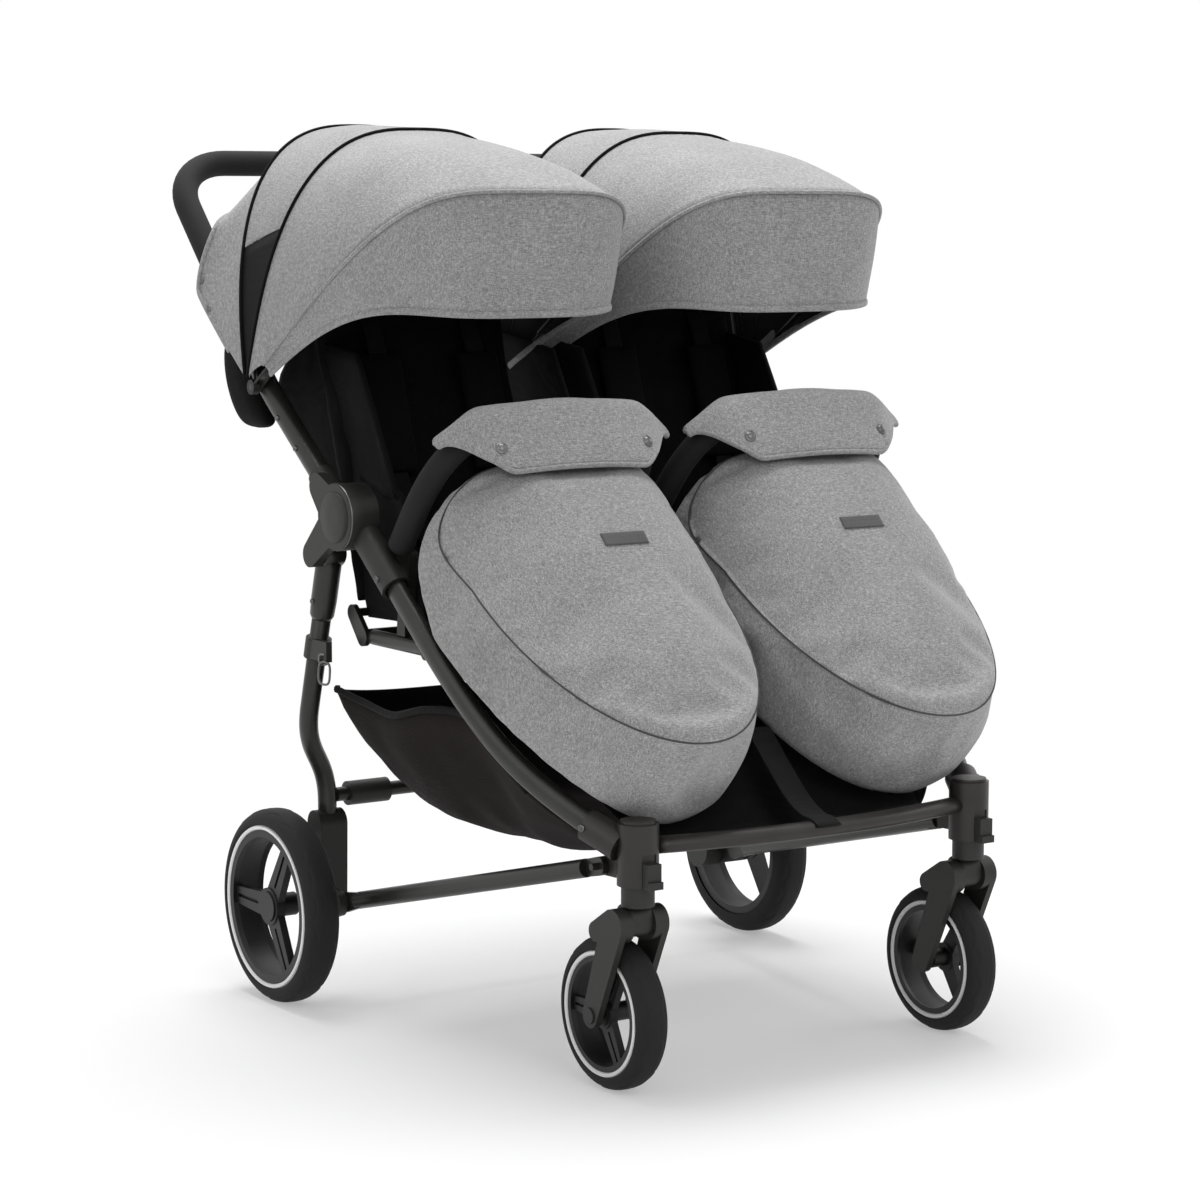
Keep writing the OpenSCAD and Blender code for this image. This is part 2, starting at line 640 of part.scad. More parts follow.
// a straight tube with a flat eye at each end
module link_tubes() color("#2c2d2a") for (s = [0, 1]) mirror([s, 0, 0]) {
    eye_t = link_d * 0.35;
    rear_x = -rear_foot_x - rear_leg_d * 0.8 + link_d * 0.5 + seat_gap;
    front_x = -caster_x - link_d * 0.9 + link_d * 0.35 - seat_gap;
    a = [rear_x + eye_t * 0.5, link_rear_y, link_rear_z];
    b = [front_x - eye_t * 0.5, -link_front_y, link_front_z];
    t = unit(b - a);
    difference() {
        union() {
            bar(a + t * link_d * 1.5, b - t * link_d * 1.2, link_d / 2);
            strap_x([a.y, a.z], link_d * 0.6, [a.y + t.y * link_d * 1.8, a.z + t.z * link_d * 1.8],
                link_d * 0.45, rear_x, rear_x + eye_t);
            strap_x([b.y, b.z], link_d * 0.5, [b.y - t.y * link_d * 1.8, b.z - t.z * link_d * 1.8],
                link_d * 0.45, front_x - eye_t, front_x);
        }
        rod_x([b.y, b.z], pivot_r + run_fit, front_x - link_d, front_x + overrun);
    }
}

// tubes under the seats, each butted against the next
rail_x = seat_x + pad_w / 2 + seat_tube_d * 0.55;
front_rail_y = -(hub_y + leg_w * 2.4);
rear_rail_y = hub_y + seat_tube_d * 0.7;
module seat_frame() color("#262726") {
    r = seat_tube_d / 2;
    leg_face = hub_x - leg_t * 0.36;
    rod_x([front_rail_y, seat_z], r, -leg_face, leg_face);
    rod_x([rear_rail_y, seat_z], r, -rod_end - lug_t / 2, rod_end + lug_t / 2);
    back_lugs();
    for (x = [-rail_x, rail_x])
        bar([x, front_rail_y + r + seat_gap, seat_z], [x, rear_rail_y - r - seat_gap, seat_z], r);
    translate([-seat_tube_d * 2.6, front_rail_y + r + seat_gap, seat_z - r])
        cube([seat_tube_d * 5.2, rear_rail_y - front_rail_y - seat_tube_d - seat_gap * 2, seat_tube_d]);
    centre_post();
}

// post between the seats with the clevis of the centre strut
strut_r = seat_tube_d * 0.36;
knee_r = strut_r * 1.06;
post_y = rear_rail_y - seat_tube_d * 0.9;
module centre_post() {
    r = seat_tube_d * 0.6;
    cheek = strut_r * 1.35;
    foot = [post_y - r, seat_z + seat_tube_d / 2 + seat_gap + r];
    difference() {
        strap_x(foot, r, [hub_y, hub_z], r, -cheek, cheek);
        rod_x([hub_y, hub_z], r * 1.6, -strut_r - seat_gap, strut_r + seat_gap);
        rod_x([hub_y, hub_z], pivot_r + run_fit, -cheek - overrun, cheek + overrun);
    }
    translate([-cheek, foot.x - r, seat_z + seat_tube_d / 2]) cube([cheek * 2, r * 2, r]);
}

// strut from the post to the crossbar, for the inner canopy pivots
module centre_strut() color("#2c2d2a") {
    low = side_at(0, seat_tube_d * 0.4);
    mid = side_at(0, lower_tube_len);
    top = side_at(0, handle_len - grip_d / 2 - seat_gap);
    bar(low, mid, strut_r);
    translate(mid) sphere(r = knee_r);
    bar(mid, top, strut_r);
    rod_x([hub_y, hub_z], seat_tube_d * 0.5, -strut_r, strut_r);
    rod_x([hub_y, hub_z], pivot_r, -strut_r * 1.35, strut_r * 1.35);
}

// pivots for the bows: clamps on the tubes outside, a pin through the strut inside
eye_r = bow_d * 1.5;
pin_r = bow_d * 0.6;
eye_t = bow_d * 0.7;
mount_out = handle_x + tube_d / 2 + seat_gap;
mount_r = tube_d * 0.28;
module canopy_mount_left() color("#1f1f1f") {
    p = [pivot_y, pivot_z];
    tip = p + mount_len * [cos(front_bow_a), sin(front_bow_a)];
    hull() {
        rod_x(p, mount_r, -mount_out - bow_d * 0.3, -mount_out);
        rod_x(tip, mount_r * 0.8, -mount_out - bow_d * 0.3, -mount_out);
    }
    rod_x(p, pin_r, -mount_out - bow_d * 0.3 - (eye_t + seat_gap) * 2, -mount_out);
    rod_x(p, pin_r, -in_first - (eye_t + seat_gap) * 2, -knee_r - seat_gap);
    rod_x(p, eye_r, -knee_r - seat_gap * 3, -knee_r - seat_gap);
}

// canopy curves: an arch of given reach and half width, standing at an angle round the pivot
bow_c = -(bow_out_x + bow_in_x) / 2;
bow_half = (bow_out_x - bow_in_x) / 2;
function arch(half, reach, angle, s, e) = let(r = reach * pow(sin(s), 2 / e))
    [bow_c - half * spow(cos(s), 2 / e), pivot_y + r * cos(angle), pivot_z + r * sin(angle)];
rear_full = 2.6;
front_full = 4.4;
edge_s = 3;

module bow(reach, angle, full, out_x0, in_x0, grow) {
    path = [for (i = [0 : 30]) arch(bow_half + grow, reach, angle, mix(edge_s, 180 - edge_s, i / 30), full)];
    p = [pivot_y, pivot_z];
    difference() {
        union() {
            sweep(path, bow_d / 2, bow_d / 2, [0, -sin(angle), cos(angle)], 8);
            rod_x(p, eye_r, -out_x0 - eye_t, -out_x0);
            rod_x(p, eye_r, -in_x0 - eye_t, -in_x0);
            bar([-out_x0 - eye_t / 2, each p], path[2], eye_t * 0.4);
            bar([-in_x0 - eye_t / 2, each p], path[28], eye_t * 0.4);
        }
        rod_x(p, pin_r + run_fit, -out_x0 - eye_t - overrun, -out_x0 + overrun);
        rod_x(p, pin_r + run_fit, -in_x0 - eye_t - overrun, -in_x0 + overrun);
    }
}

out_first = mount_out + bow_d * 0.3 + seat_gap;
in_first = knee_r + seat_gap * 4;
module rear_bow_left()
    bow(rear_bow_r, rear_bow_a, rear_full, out_first, in_first + eye_t + seat_gap, -bow_d * 0.6);

module rear_bows() color("#1b1b1b") {
    rear_bow_left();
    right() rear_bow_left();
}

module front_bow_left() color("#1b1b1b")
    bow(front_bow_r, front_bow_a, front_full, out_first + eye_t + seat_gap, in_first, bow_d * 0.6);

// fabric reach between the bows, with a shallow dip between each pair
function hood_reach(a) = a <= mid_bow_a
    ? let(t = (a - rear_bow_a) / (mid_bow_a - rear_bow_a))
        mix(rear_bow_r, mid_bow_r, t) - bow_d * 4 * t * (1 - t)
    : let(t = (a - mid_bow_a) / (front_bow_a - mid_bow_a))
        mix(mid_bow_r, front_bow_r, pow(t, 1.25)) - bow_d * 5 * t * (1 - t);
function hood_full(a) = mix(rear_full, front_full, max(0, (a - rear_bow_a) / (front_bow_a - rear_bow_a)));
function hem_share(s) = pow(max(0, sin(s)), 0.9);
function visor(grow, s, v) = let(b = arch(bow_half + grow, front_bow_r + grow, front_bow_a, s, front_full),
    h = arch(bow_half * 0.985 + grow, mix(front_bow_r, hem_r, hem_share(s)) + grow,
        mix(front_bow_a + 5, hem_a, hem_share(s)), s, front_full))
    mix(b, h, v) + [0, -bow_d * 2.4 * v * (1 - v) * sin(s), 0];
hood_as = concat([for (t = [0, 0.2, 0.4, 0.6, 0.8]) mix(rear_bow_a, mid_bow_a, t)],
    [for (t = [0, 0.17, 0.38, 0.6, 0.81, 1]) mix(mid_bow_a, front_bow_a, t)]);
hood_first_s = 7;
function hood_grid(grow) = [for (i = [0 : 24]) let(s = mix(hood_first_s, 180 - hood_first_s, i / 24))
    concat([for (a = hood_as) arch(bow_half + grow, hood_reach(a) + grow, a, s, hood_full(a))],
        [for (v = [0.3, 0.65, 1]) visor(grow, s, v)])];
module canopy_hood_left() color("#9a9a9a") {
    g = bow_d / 2 + seat_gap + cloth_gap;
    sheet(backwards(hood_grid(g + cloth_t)), backwards(hood_grid(g)));
}

// rear panel, from the rear bow to an edge outside the handle tube that rises over it at the top
edge_full = 7;
edge_rise = 17;
function rear_reach(t) = mix(rear_edge_r, rear_bow_r, t) - bow_d * 3 * t * (1 - t);
function rear_angle(s, t) = let(q = min(1, max(0, (pow(sin(s), 2 / edge_full) - 0.55) / 0.3)))
    mix(rear_edge_a + edge_rise * q * q * (3 - 2 * q), rear_bow_a, t);
rear_step = [0, sin(rear_bow_a), -cos(rear_bow_a)] * seat_gap;
function rear_grid(grow) = [for (i = [0 : 24]) let(s = mix(hood_first_s, 180 - hood_first_s, i / 24))
    [for (j = [0 : 4]) arch(bow_half + grow, rear_reach(j / 4) + grow, rear_angle(s, j / 4), s,
        mix(edge_full, rear_full, pow(j / 4, 1.5))) + rear_step]];
module canopy_rear_left() color("#9a9a9a") {
    g = bow_d / 2 + seat_gap + cloth_gap;
    sheet(backwards(rear_grid(g + cloth_t)), backwards(rear_grid(g)));
}

// a cushion with a crown, drawn-in sides and sewn channels across it
module cushion(w, l, t, channels) {
    na = 12;
    nb = 12;
    function face(u, v, up) = let(e = max(0, (1 - pow(u, 4)) * (1 - pow(v, 4))), draw = 0.97 + 0.03 * e,
        ch = channels > 0 ? 0.12 * pow(abs(cos(180 * channels * (v + 1) / 2)), 10) : 0,
        crown = 0.12 * (1 - u * u) * (1 - v * v) - ch * e)
        [w / 2 * u * draw, l / 2 * v * draw, t * (up ? 0.5 + 0.38 * sqrt(e) + crown : 0.5 - 0.38 * sqrt(e))];
    function edge(up) = [for (i = [0 : na]) [for (j = [0 : nb])
        face(2 * i / na - 1, 2 * j / nb - 1, up) + [0, 0, up ? t * 0.1 : -t * 0.1]]];
    sheet(edge(true), edge(false));
}

module seat_pad_left() color("#1c1c1c") {
    translate([-seat_x, rear_rail_y + seat_tube_d * 0.5 - pad_len / 2 - seat_tube_d * 0.4, pad_z])
        cushion(pad_w, pad_len, pad_t, 3);
}

// the hinge rod of the seat backs lies in lugs on the rear rail
lug_t = rod_d * 0.6;
rod_end = seat_x + back_w / 2 + seat_gap;
module back_rod_left() color("#262726")
    rod_x([back_y, back_z], rod_d / 2, -rod_end - lug_t, -seat_gap);

module back_lugs() difference() {
    for (x = [-rod_end - lug_t, -lug_t / 2, rod_end])
        strap_x([rear_rail_y, seat_z], seat_tube_d * 0.62, [back_y, back_z], rod_d, x, x + lug_t);
    rod_x([back_y, back_z], rod_d / 2 + run_fit, -rod_end - lug_t * 2, rod_end + lug_t * 2);
}

// padded back on a barrel round the hinge rod
module backrest_left() color("#171717") {
    barrel = rod_d * 0.95;
    translate([-seat_x, back_y, back_z]) difference() {
        union() {
            rotate([back_a, 0, 0]) translate([0, back_len / 2 + barrel * 0.4, -back_t * 0.5])
                cushion(back_w, back_len, back_t, 2);
            along_x() translate([0, 0, -back_w / 2]) cylinder(r = barrel, h = back_w);
        }
        along_x() translate([0, 0, -back_w]) cylinder(r = rod_d / 2 + run_fit, h = back_w * 2);
    }
}

// foam bar, arched in plan and rising from its sockets
bar_full = 3.3;
function bar_at(s) = let(h = pow(sin(s), 2 / bar_full))
    [-seat_x - bar_half * spow(cos(s), 2 / bar_full), -bar_end_y - bar_reach * h, bar_end_z + bar_rise * h];
module bumper_bar_left() color("#222222") {
    path = concat([bar_at(0) + [0, bar_d * 0.3, -bar_d * 0.4]], [for (i = [0 : 24]) bar_at(180 * i / 24)],
        [bar_at(180) + [0, bar_d * 0.3, -bar_d * 0.4]]);
    sweep(path, bar_d / 2, bar_d / 2, [0, 1, 0.6], 14);
}

// cups under the bar ends on straps down to the seat frame
module bumper_sockets() color("#1f1f1f") for (s = [0, 1]) mirror([s, 0, 0]) {
    end = [-bar_end_y + bar_d * 0.3, bar_end_z - bar_d * 0.4];
    low_z = seat_z + seat_tube_d / 2 + seat_gap;
    foot = [end.x + bar_d * 0.4, low_z + bar_d * 0.34];
    w = bar_d * 0.2;
    for (side = [-1, 1]) {
        x = -seat_x + side * (bar_half - bar_d * 0.42);
        top = end - [0, bar_d * 0.402];
        strap_x(top, bar_d * 0.3, foot, bar_d * 0.3, x - w, x + w);
        translate([x - w, foot.x - bar_d * 0.3, low_z]) cube([w * 2, bar_d * 0.6, bar_d * 0.3]);
    }
}

// footmuff: a crowned front panel, a seam all round and a gusset back to the open rim
md = [cos(muff_a), sin(muff_a)];
mn = [md.y, -md.x];
function muff_pt(x, d, n) = [-seat_x + x, -muff_top_y + d * md.x + n * mn.x,
    muff_top_z + d * md.y + n * mn.y];
muff_mid = muff_len * 0.37;
function seam_n(c, s, k) = let(side = -muff_seam + (muff_toe + muff_heel) / 2 * k
    + ((muff_toe - muff_heel) / 2 + muff_seam) * k * k)
    s >= 0 ? side : mix(-muff_crown * 0.5, side, pow(abs(c), 0.7));
function rim_n(c, s, k) = s >= 0 ? -muff_rim * (1 - 0.16 * k - 0.7 * s * abs(c))
    : mix(-muff_crown * 1.8, -muff_rim * (1 + 0.25 * k), pow(abs(c), 0.7));
function muff_ring(q, grow, lift, back) = [for (i = [0 : 35]) let(c = cos(10 * i), s = sin(10 * i),
    e = s > 0 ? 2.05 : 4.6, h = s > 0 ? muff_len - muff_mid : muff_mid - bar_d * 0.5,
    k = spow(s, 2 / e), n = seam_n(c, s, k))
    muff_pt((muff_half * q + grow) * spow(c, 2 / e), muff_mid + (h * q + grow) * k,
        muff_crown + (n - muff_crown) * pow(q, 2.3) + lift - back * (n - rim_n(c, s, k)))];
module footmuff_left() color("#8d8d8d") {
    w = muff_wall;
    outer = [for (q = [0.12, 0.4, 0.66, 0.86, 1]) muff_ring(q, 0, 0, 0)];
    rim = [muff_ring(1, w * 1.1, 0, 0.4), muff_ring(1, w * 0.8, 0, 1)];
    inner = [muff_ring(1, -w * 0.3, 0, 1), muff_ring(1, -w * 0.1, 0, 0.4), muff_ring(0.95, 0, -w * 1.1, 0),
        muff_ring(0.8, 0, -w, 0), muff_ring(0.5, 0, -w, 0), muff_ring(0.12, 0, -w, 0)];
    loft(concat(outer, rim, inner));
    flap();
}

// the flap wraps the bar from behind and hangs in front of it
flap_first = 30;
function flap_row(s, r) = let(c = bar_at(s), t = unit(bar_at(s + 2) - bar_at(s - 2)),
    f = unit([t.y, -t.x, 0]), u = cross(f, t),
    drop = flap_drop * pow(min(1, max(0.02, (sin(s) - 0.45) / 0.45)), 0.8))
    concat([for (a = [-70 : 15 : 125]) c + u * r * cos(a) + f * r * sin(a)],
        [for (k = [0.4, 0.75, 1]) c + f * (r + drop * k * 0.14) - [0, 0, r * 0.6 + drop * k]]);
function flap_grid(r) = [for (i = [0 : 18]) flap_row(mix(flap_first, 180 - flap_first, i / 18), r)];
module flap() {
    r = bar_d / 2 + seat_gap * 2;
    sheet(backwards(flap_grid(r + flap_t)), backwards(flap_grid(r)));
}

// dark panel behind the footmuffs, from the cross tube up to the seat rail
cross_end = caster_x - housing_d / 2 - seat_gap * 2;
function cross_y(x) = -caster_y - cross_bow * (1 - pow(x / cross_end, 2));
calf_y = [0, -link_front_y, -link_front_y + cross_bow * 3.6, front_rail_y];
calf_z = [cross_z - cloth_t / 2, cross_z - cross_h * 0.22, cross_z + cross_h * 3.5,
    seat_z - seat_tube_d / 2 - seat_gap - cloth_t];
calf_half = [caster_x - housing_d, caster_x - housing_d * 0.8, caster_x, rail_x - seat_tube_d];
calf_sag = cross_h * 0.12;
function calf_row(k, lift) = [for (j = [0 : 10]) let(u = j / 5 - 1, x = calf_half[k] * u)
    [x, k == 0 ? cross_y(x) + cross_w / 2 + seat_gap : calf_y[k],
    calf_z[k] + lift - (k == 1 || k == 2 ? calf_sag * (1 - u * u) : 0)]];
module calf_panel() color("#1d1b1a")
    sheet([for (k = [3 : -1 : 0]) calf_row(k, cloth_t)], [for (k = [3 : -1 : 0]) calf_row(k, 0)]);

// sling basket with a rear wall, hung on straps from the seat frame
basket_y_shares = [1.04, 1, 0.62, 0.16, -0.3, -0.8, -1.4, -2.0];
basket_rim_shares = [0, 0, -0.02, -0.05, -0.1, -0.35, -0.8, -1.25];
basket_floor_shares = [1, 0.1, 0.03, -0.07, -0.18, -0.3, -0.42, -0.48];
basket_half_shares = [1, 1, 1, 1, 0.99, 0.97, 0.94, 0.87, 0.66];
basket_deep = basket_rim_z - basket_floor_z;
basket_front_z = calf_z[1] - calf_sag - seat_gap;
function basket_y(k) = k == 8 ? -link_front_y : basket_rear_y * basket_y_shares[k];
function basket_rim(k) = k == 8 ? basket_front_z : basket_rim_z + basket_deep * basket_rim_shares[k];
function basket_low(k) = k == 8 ? basket_front_z - cloth_t
    : min(basket_floor_z + basket_deep * basket_floor_shares[k], basket_rim(k) - cloth_t);
function basket_row(k, lift) = [for (j = [0 : 12]) let(u = j / 6 - 1, up = k == 8 ? 0 : pow(abs(u), 5))
    [(basket_half * basket_half_shares[k] - lift * up) * spow(u, 0.7), basket_y(k) - (k < 2 ? lift : 0),
    mix(basket_low(k), basket_rim(k), up) + lift * (1 - up)]];

// a hanger from the rim up to the side rail of the seat frame
hanger_w = seat_tube_d;
module basket_hanger(k) {
    y = basket_y(k) + hanger_w * 0.13;
    low = [-basket_half * basket_half_shares[k] + cloth_t * 4.3, basket_rim(k) - cloth_t * 8.1];
    top = [-rail_x, seat_z - seat_tube_d / 2 - seat_gap];
    loft([for (p = [low, top]) [for (c = [[-1, -1], [1, -1], [1, 1], [-1, 1]])
        [p.x + c.x * cloth_t * 0.7, y + c.y * hanger_w / 2, p.y]]]);
}

module basket() color("#221d1a") {
    sheet([for (k = [0 : 8]) basket_row(k, cloth_t)], [for (k = [0 : 8]) basket_row(k, 0)]);
    for (s = [0, 1], k = [3, 4]) mirror([s, 0, 0]) basket_hanger(k);
}

module front_leg_right() right() front_leg_left();
module hub_shell_right() right() hub_shell_left();
module front_housing_right() right() front_housing_left();
module seat_pad_right() right() seat_pad_left();
module bumper_bar_right() right() bumper_bar_left();
module footmuff_right() right() footmuff_left();
module hub_cap_right() right() hub_cap_left();
module canopy_rear_right() right() canopy_rear_left();
module canopy_hood_right() right() canopy_hood_left();
module front_bow_right() right() front_bow_left();
module backrest_right() right() backrest_left();
module rear_leg_right() right() rear_leg_left();
module canopy_mount_right() right() canopy_mount_left();
module back_rod_right() right() back_rod_left();
module rear_tyre_right() right() rear_tyre_left();
module rear_rim_right() right() rear_rim_left();
module rear_ring_right() right() rear_ring_left();
module caster_head_right() right() caster_head_left();
module fork_right() right() fork_left();
module front_tyre_right() right() front_tyre_left();
module front_rim_right() right() front_rim_left();
module front_ring_right() right() front_ring_left();
module swivel_lock_right() right() swivel_lock_left();

placed() front_leg_left();
placed() front_leg_right();
placed() hub_shell_left();
placed() hub_shell_right();
placed() front_cross_tube();
placed() front_housing_left();
placed() front_housing_right();
placed() seat_frame();
placed() seat_pad_left();
placed() seat_pad_right();
placed() bumper_bar_left();
placed() bumper_bar_right();
placed() bumper_sockets();
placed() footmuff_left();
placed() footmuff_right();
placed() calf_panel();
placed() basket();
placed() handle_tube();
placed() handle_grip();
placed() hub_cap_left();
placed() hub_cap_right();
placed() centre_strut();
placed() canopy_mount_left();
placed() canopy_mount_right();
placed() canopy_rear_left();
placed() canopy_rear_right();
placed() rear_bows();
placed() canopy_hood_left();
placed() canopy_hood_right();
placed() front_bow_left();
placed() front_bow_right();
placed() back_rod_left();
placed() back_rod_right();
placed() backrest_left();
placed() backrest_right();
placed() rear_leg_left();
placed() rear_leg_right();
placed() rear_cross_tube();
placed() rear_feet();
placed() leg_brackets();
placed() brake_pedal();
placed() link_tubes();
placed() rear_tyre_left();
placed() rear_tyre_right();
placed() rear_rim_left();
placed() rear_rim_right();
placed() rear_ring_left();
placed() rear_ring_right();
placed() caster_head_left();
placed() caster_head_right();
placed() fork_left();
placed() fork_right();
placed() front_tyre_left();
placed() front_tyre_right();
placed() front_rim_left();
placed() front_rim_right();
placed() front_ring_left();
placed() front_ring_right();
placed() swivel_lock_left();
placed() swivel_lock_right();
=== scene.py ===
# Looks of the side by side double stroller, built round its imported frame, in metres
import json
import math

import bpy
import numpy as np
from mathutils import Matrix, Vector, noise
from mathutils.bvhtree import BVHTree


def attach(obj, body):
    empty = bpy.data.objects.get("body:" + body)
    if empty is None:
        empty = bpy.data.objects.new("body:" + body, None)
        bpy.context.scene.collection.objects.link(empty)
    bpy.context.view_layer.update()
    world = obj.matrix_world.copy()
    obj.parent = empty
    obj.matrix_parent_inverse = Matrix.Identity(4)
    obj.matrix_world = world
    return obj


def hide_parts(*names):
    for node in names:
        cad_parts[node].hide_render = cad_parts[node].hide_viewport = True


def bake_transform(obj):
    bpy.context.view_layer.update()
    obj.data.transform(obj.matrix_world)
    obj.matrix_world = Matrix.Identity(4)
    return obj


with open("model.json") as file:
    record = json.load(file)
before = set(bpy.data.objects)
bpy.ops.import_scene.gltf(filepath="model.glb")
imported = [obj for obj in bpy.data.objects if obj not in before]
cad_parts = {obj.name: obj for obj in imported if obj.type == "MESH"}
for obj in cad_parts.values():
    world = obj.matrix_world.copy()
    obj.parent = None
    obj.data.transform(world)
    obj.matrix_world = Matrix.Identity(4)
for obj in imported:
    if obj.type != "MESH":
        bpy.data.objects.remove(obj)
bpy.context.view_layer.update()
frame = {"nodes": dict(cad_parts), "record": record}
nodes = frame["nodes"]
scene = bpy.context.scene
SIDES = ("left", "right")

# places in the side view, in mm, as the frame's source has them
ORIGIN_Y = 33.0378
HUB = np.array([38.0, 606.0])
PIVOT = np.array([227.773, 747.969])
LOWER_LEN, UPPER_LEN = 237.0, 374.0
LOWER_A, UPPER_A = math.radians(36.8), math.radians(46.0)
HANDLE_LEN = LOWER_LEN + UPPER_LEN
HANDLE_X, BEND_R = 343.0, 78.0
SEAT_X = 171.0
CASTER = np.array([-232.0, -399.0])


def row(points):
    """Points in mm of the source's datum as metres of the row frame."""
    p = np.array(points, float) * 0.001
    p[..., 1] -= ORIGIN_Y * 0.001
    return p


def smooth(t):
    t = np.clip(t, 0, 1)
    return t * t * (3 - 2 * t)


def mix(a, b, t):
    return a + (b - a) * t


def spow(v, e):
    return np.sign(v) * np.abs(v) ** e


def unit(v):
    v = np.array(v, float)
    return v / np.linalg.norm(v, axis=-1, keepdims=True)


def bezier(a, b, c, d, n):
    t = np.linspace(0, 1, n)[:, None]
    a, b, c, d = (np.array(p, float) for p in (a, b, c, d))
    return a * (1 - t) ** 3 + b * 3 * t * (1 - t) ** 2 + c * 3 * t * t * (1 - t) + d * t ** 3


def spline(points, n):
    """A smooth curve through the points, with n samples evenly spaced along it."""
    p = np.array(points, float)
    ext = np.vstack([2 * p[0] - p[1], p, 2 * p[-1] - p[-2]])
    out = []
    for i in range(len(p) - 1):
        a, b, c, d = ext[i:i + 4]
        t = np.linspace(0, 1, 24, endpoint=False)[:, None]
        out.append(0.5 * (2 * b + (c - a) * t + (2 * a - 5 * b + 4 * c - d) * t ** 2
                          + (3 * b - a - 3 * c + d) * t ** 3))
    q = np.vstack(out + [p[-1:]])
    s = np.concatenate([[0], np.cumsum(np.linalg.norm(np.diff(q, axis=0), axis=1))])
    u = np.linspace(0, s[-1], n)
    return np.stack([np.interp(u, s, q[:, k]) for k in range(3)], 1)


# mesh builders


def piece(name, verts, faces, mats, flat=False):
    mesh = bpy.data.meshes.new(name)
    mesh.from_pydata([tuple(v) for v in verts], [], [tuple(int(k) for k in f) for f in faces])
    mesh.update()
    if not flat:
        mesh.shade_smooth()
    for m in mats if isinstance(mats, (list, tuple)) else [mats]:
        mesh.materials.append(m)
    obj = bpy.data.objects.new(name, mesh)
    scene.collection.objects.link(obj)
    return obj


def grid_faces(m, n, wrap=False, first=0):
    faces = []
    for i in range(m - 1):
        for j in range(n if wrap else n - 1):
            k = (j + 1) % n
            here, there = first + i * n, first + (i + 1) * n
            faces.append((here + j, here + k, there + k, there + j))
    return faces


def joined(parts):
    """Several (verts, faces) as one."""
    verts, faces, first = [], [], 0
    for v, f in parts:
        verts.append(np.array(v, float))
        faces += [tuple(k + first for k in g) for g in f]
        first += len(v)
    return np.vstack(verts), faces


def tube(path, ra, rb=None, up=(0, 0, 1), sides=24, closed=False, dome=0.0):
    """A round or oval tube along a path. dome rounds its ends by that share of the radius."""
    p = np.array(path, float)
    n = len(p)
    ra = np.broadcast_to(np.array(ra, float), (n,))
    rb = ra if rb is None else np.broadcast_to(np.array(rb, float), (n,))
    if closed:
        t = unit(np.roll(p, -1, 0) - np.roll(p, 1, 0))
    else:
        t = unit(np.gradient(p, axis=0))
    m = np.array(up, float)
    frames = []
    for k in range(n):
        m = m - t[k] * (m @ t[k])
        m = m / np.linalg.norm(m)
        frames.append(m)
    m = np.array(frames)
    b = np.cross(t, m)
    a = np.linspace(0, 2 * math.pi, sides, endpoint=False)
    rings = [p[k] + np.outer(np.cos(a) * ra[k], m[k]) + np.outer(np.sin(a) * rb[k], b[k]) for k in range(n)]
    if closed:
        verts = np.vstack(rings)
        faces = grid_faces(n, sides, True)
        last = (n - 1) * sides
        faces += [(last + j, last + (j + 1) % sides, (j + 1) % sides, j) for j in range(sides)]
        return verts, faces
    heads, tails = [], []
    for step in (0.35, 0.75) if dome else ():
        r = math.sqrt(1 - step ** 2)
        heads.append(p[0] - t[0] * ra[0] * dome * step + (rings[0] - p[0]) * r)
        tails.append(p[-1] + t[-1] * ra[-1] * dome * step + (rings[-1] - p[-1]) * r)
    rings = heads[::-1] + rings + tails
    count = len(rings)
    tips = np.array([p[0] - t[0] * ra[0] * dome, p[-1] + t[-1] * ra[-1] * dome])
    verts = np.vstack(rings + [tips])
    faces = grid_faces(count, sides, True)
    first, second = count * sides, count * sides + 1
    for j in range(sides):
        k = (j + 1) % sides
        faces.append((first, k, j))
        faces.append((second, (count - 1) * sides + j, (count - 1) * sides + k))
    return verts, faces


def lathe(profile, centre, axis, sides=48):
    """A profile of (along, radius) turned round an axis through centre."""
    axis = unit(axis)
    side = unit(np.cross(axis, (0.31, 0.42, 0.85)))
    other = np.cross(axis, side)
    a = np.linspace(0, 2 * math.pi, sides, endpoint=False)
    ring = np.outer(np.cos(a), side) + np.outer(np.sin(a), other)
    verts = np.vstack([np.array(centre) + axis * h + ring * r for h, r in profile])
    return verts, grid_faces(len(profile), sides, True)


def mirrored(obj):
    """The right twin of a left piece."""
    twin = obj.copy()
    twin.data = obj.data.copy()
    twin.name = obj.name.replace("left", "right")
    twin.data.name = twin.name
    co = np.zeros(len(twin.data.vertices) * 3, np.float32)
    twin.data.vertices.foreach_get("co", co)
    co[0::3] *= -1
    twin.data.vertices.foreach_set("co", co)
    twin.data.flip_normals()
    scene.collection.objects.link(twin)
    return twin


def own(obj, side):
    """The piece itself on the left, a new mirrored twin on the right."""
    return obj if side == "left" else mirrored(obj)


def pair(obj):
    return {side: own(obj, side) for side in SIDES}


def thicken(obj, t, inner=0, rim=0, offset=-1):
    mod = obj.modifiers.new("thick", "SOLIDIFY")
    mod.thickness = t
    mod.offset = offset
    mod.material_offset = inner
    mod.material_offset_rim = rim
    mod.use_even_offset = False
    return obj


def subdivide(obj, level=1):
    mod = obj.modifiers.new("fine", "SUBSURF")
    mod.levels = level
    mod.render_levels = level
    return obj


def ripple(points, amount, size, seed):
    """A soft uneven lift for each point, in metres."""
    out = []
    for p in np.array(points).reshape(-1, 3):
        q = Vector(p) / size + Vector((seed * 7.3, seed * 3.1, seed * 5.7))
        out.append(noise.noise(q) + 0.5 * noise.noise(q * 2.1))
    return np.array(out) * amount


# procedural materials


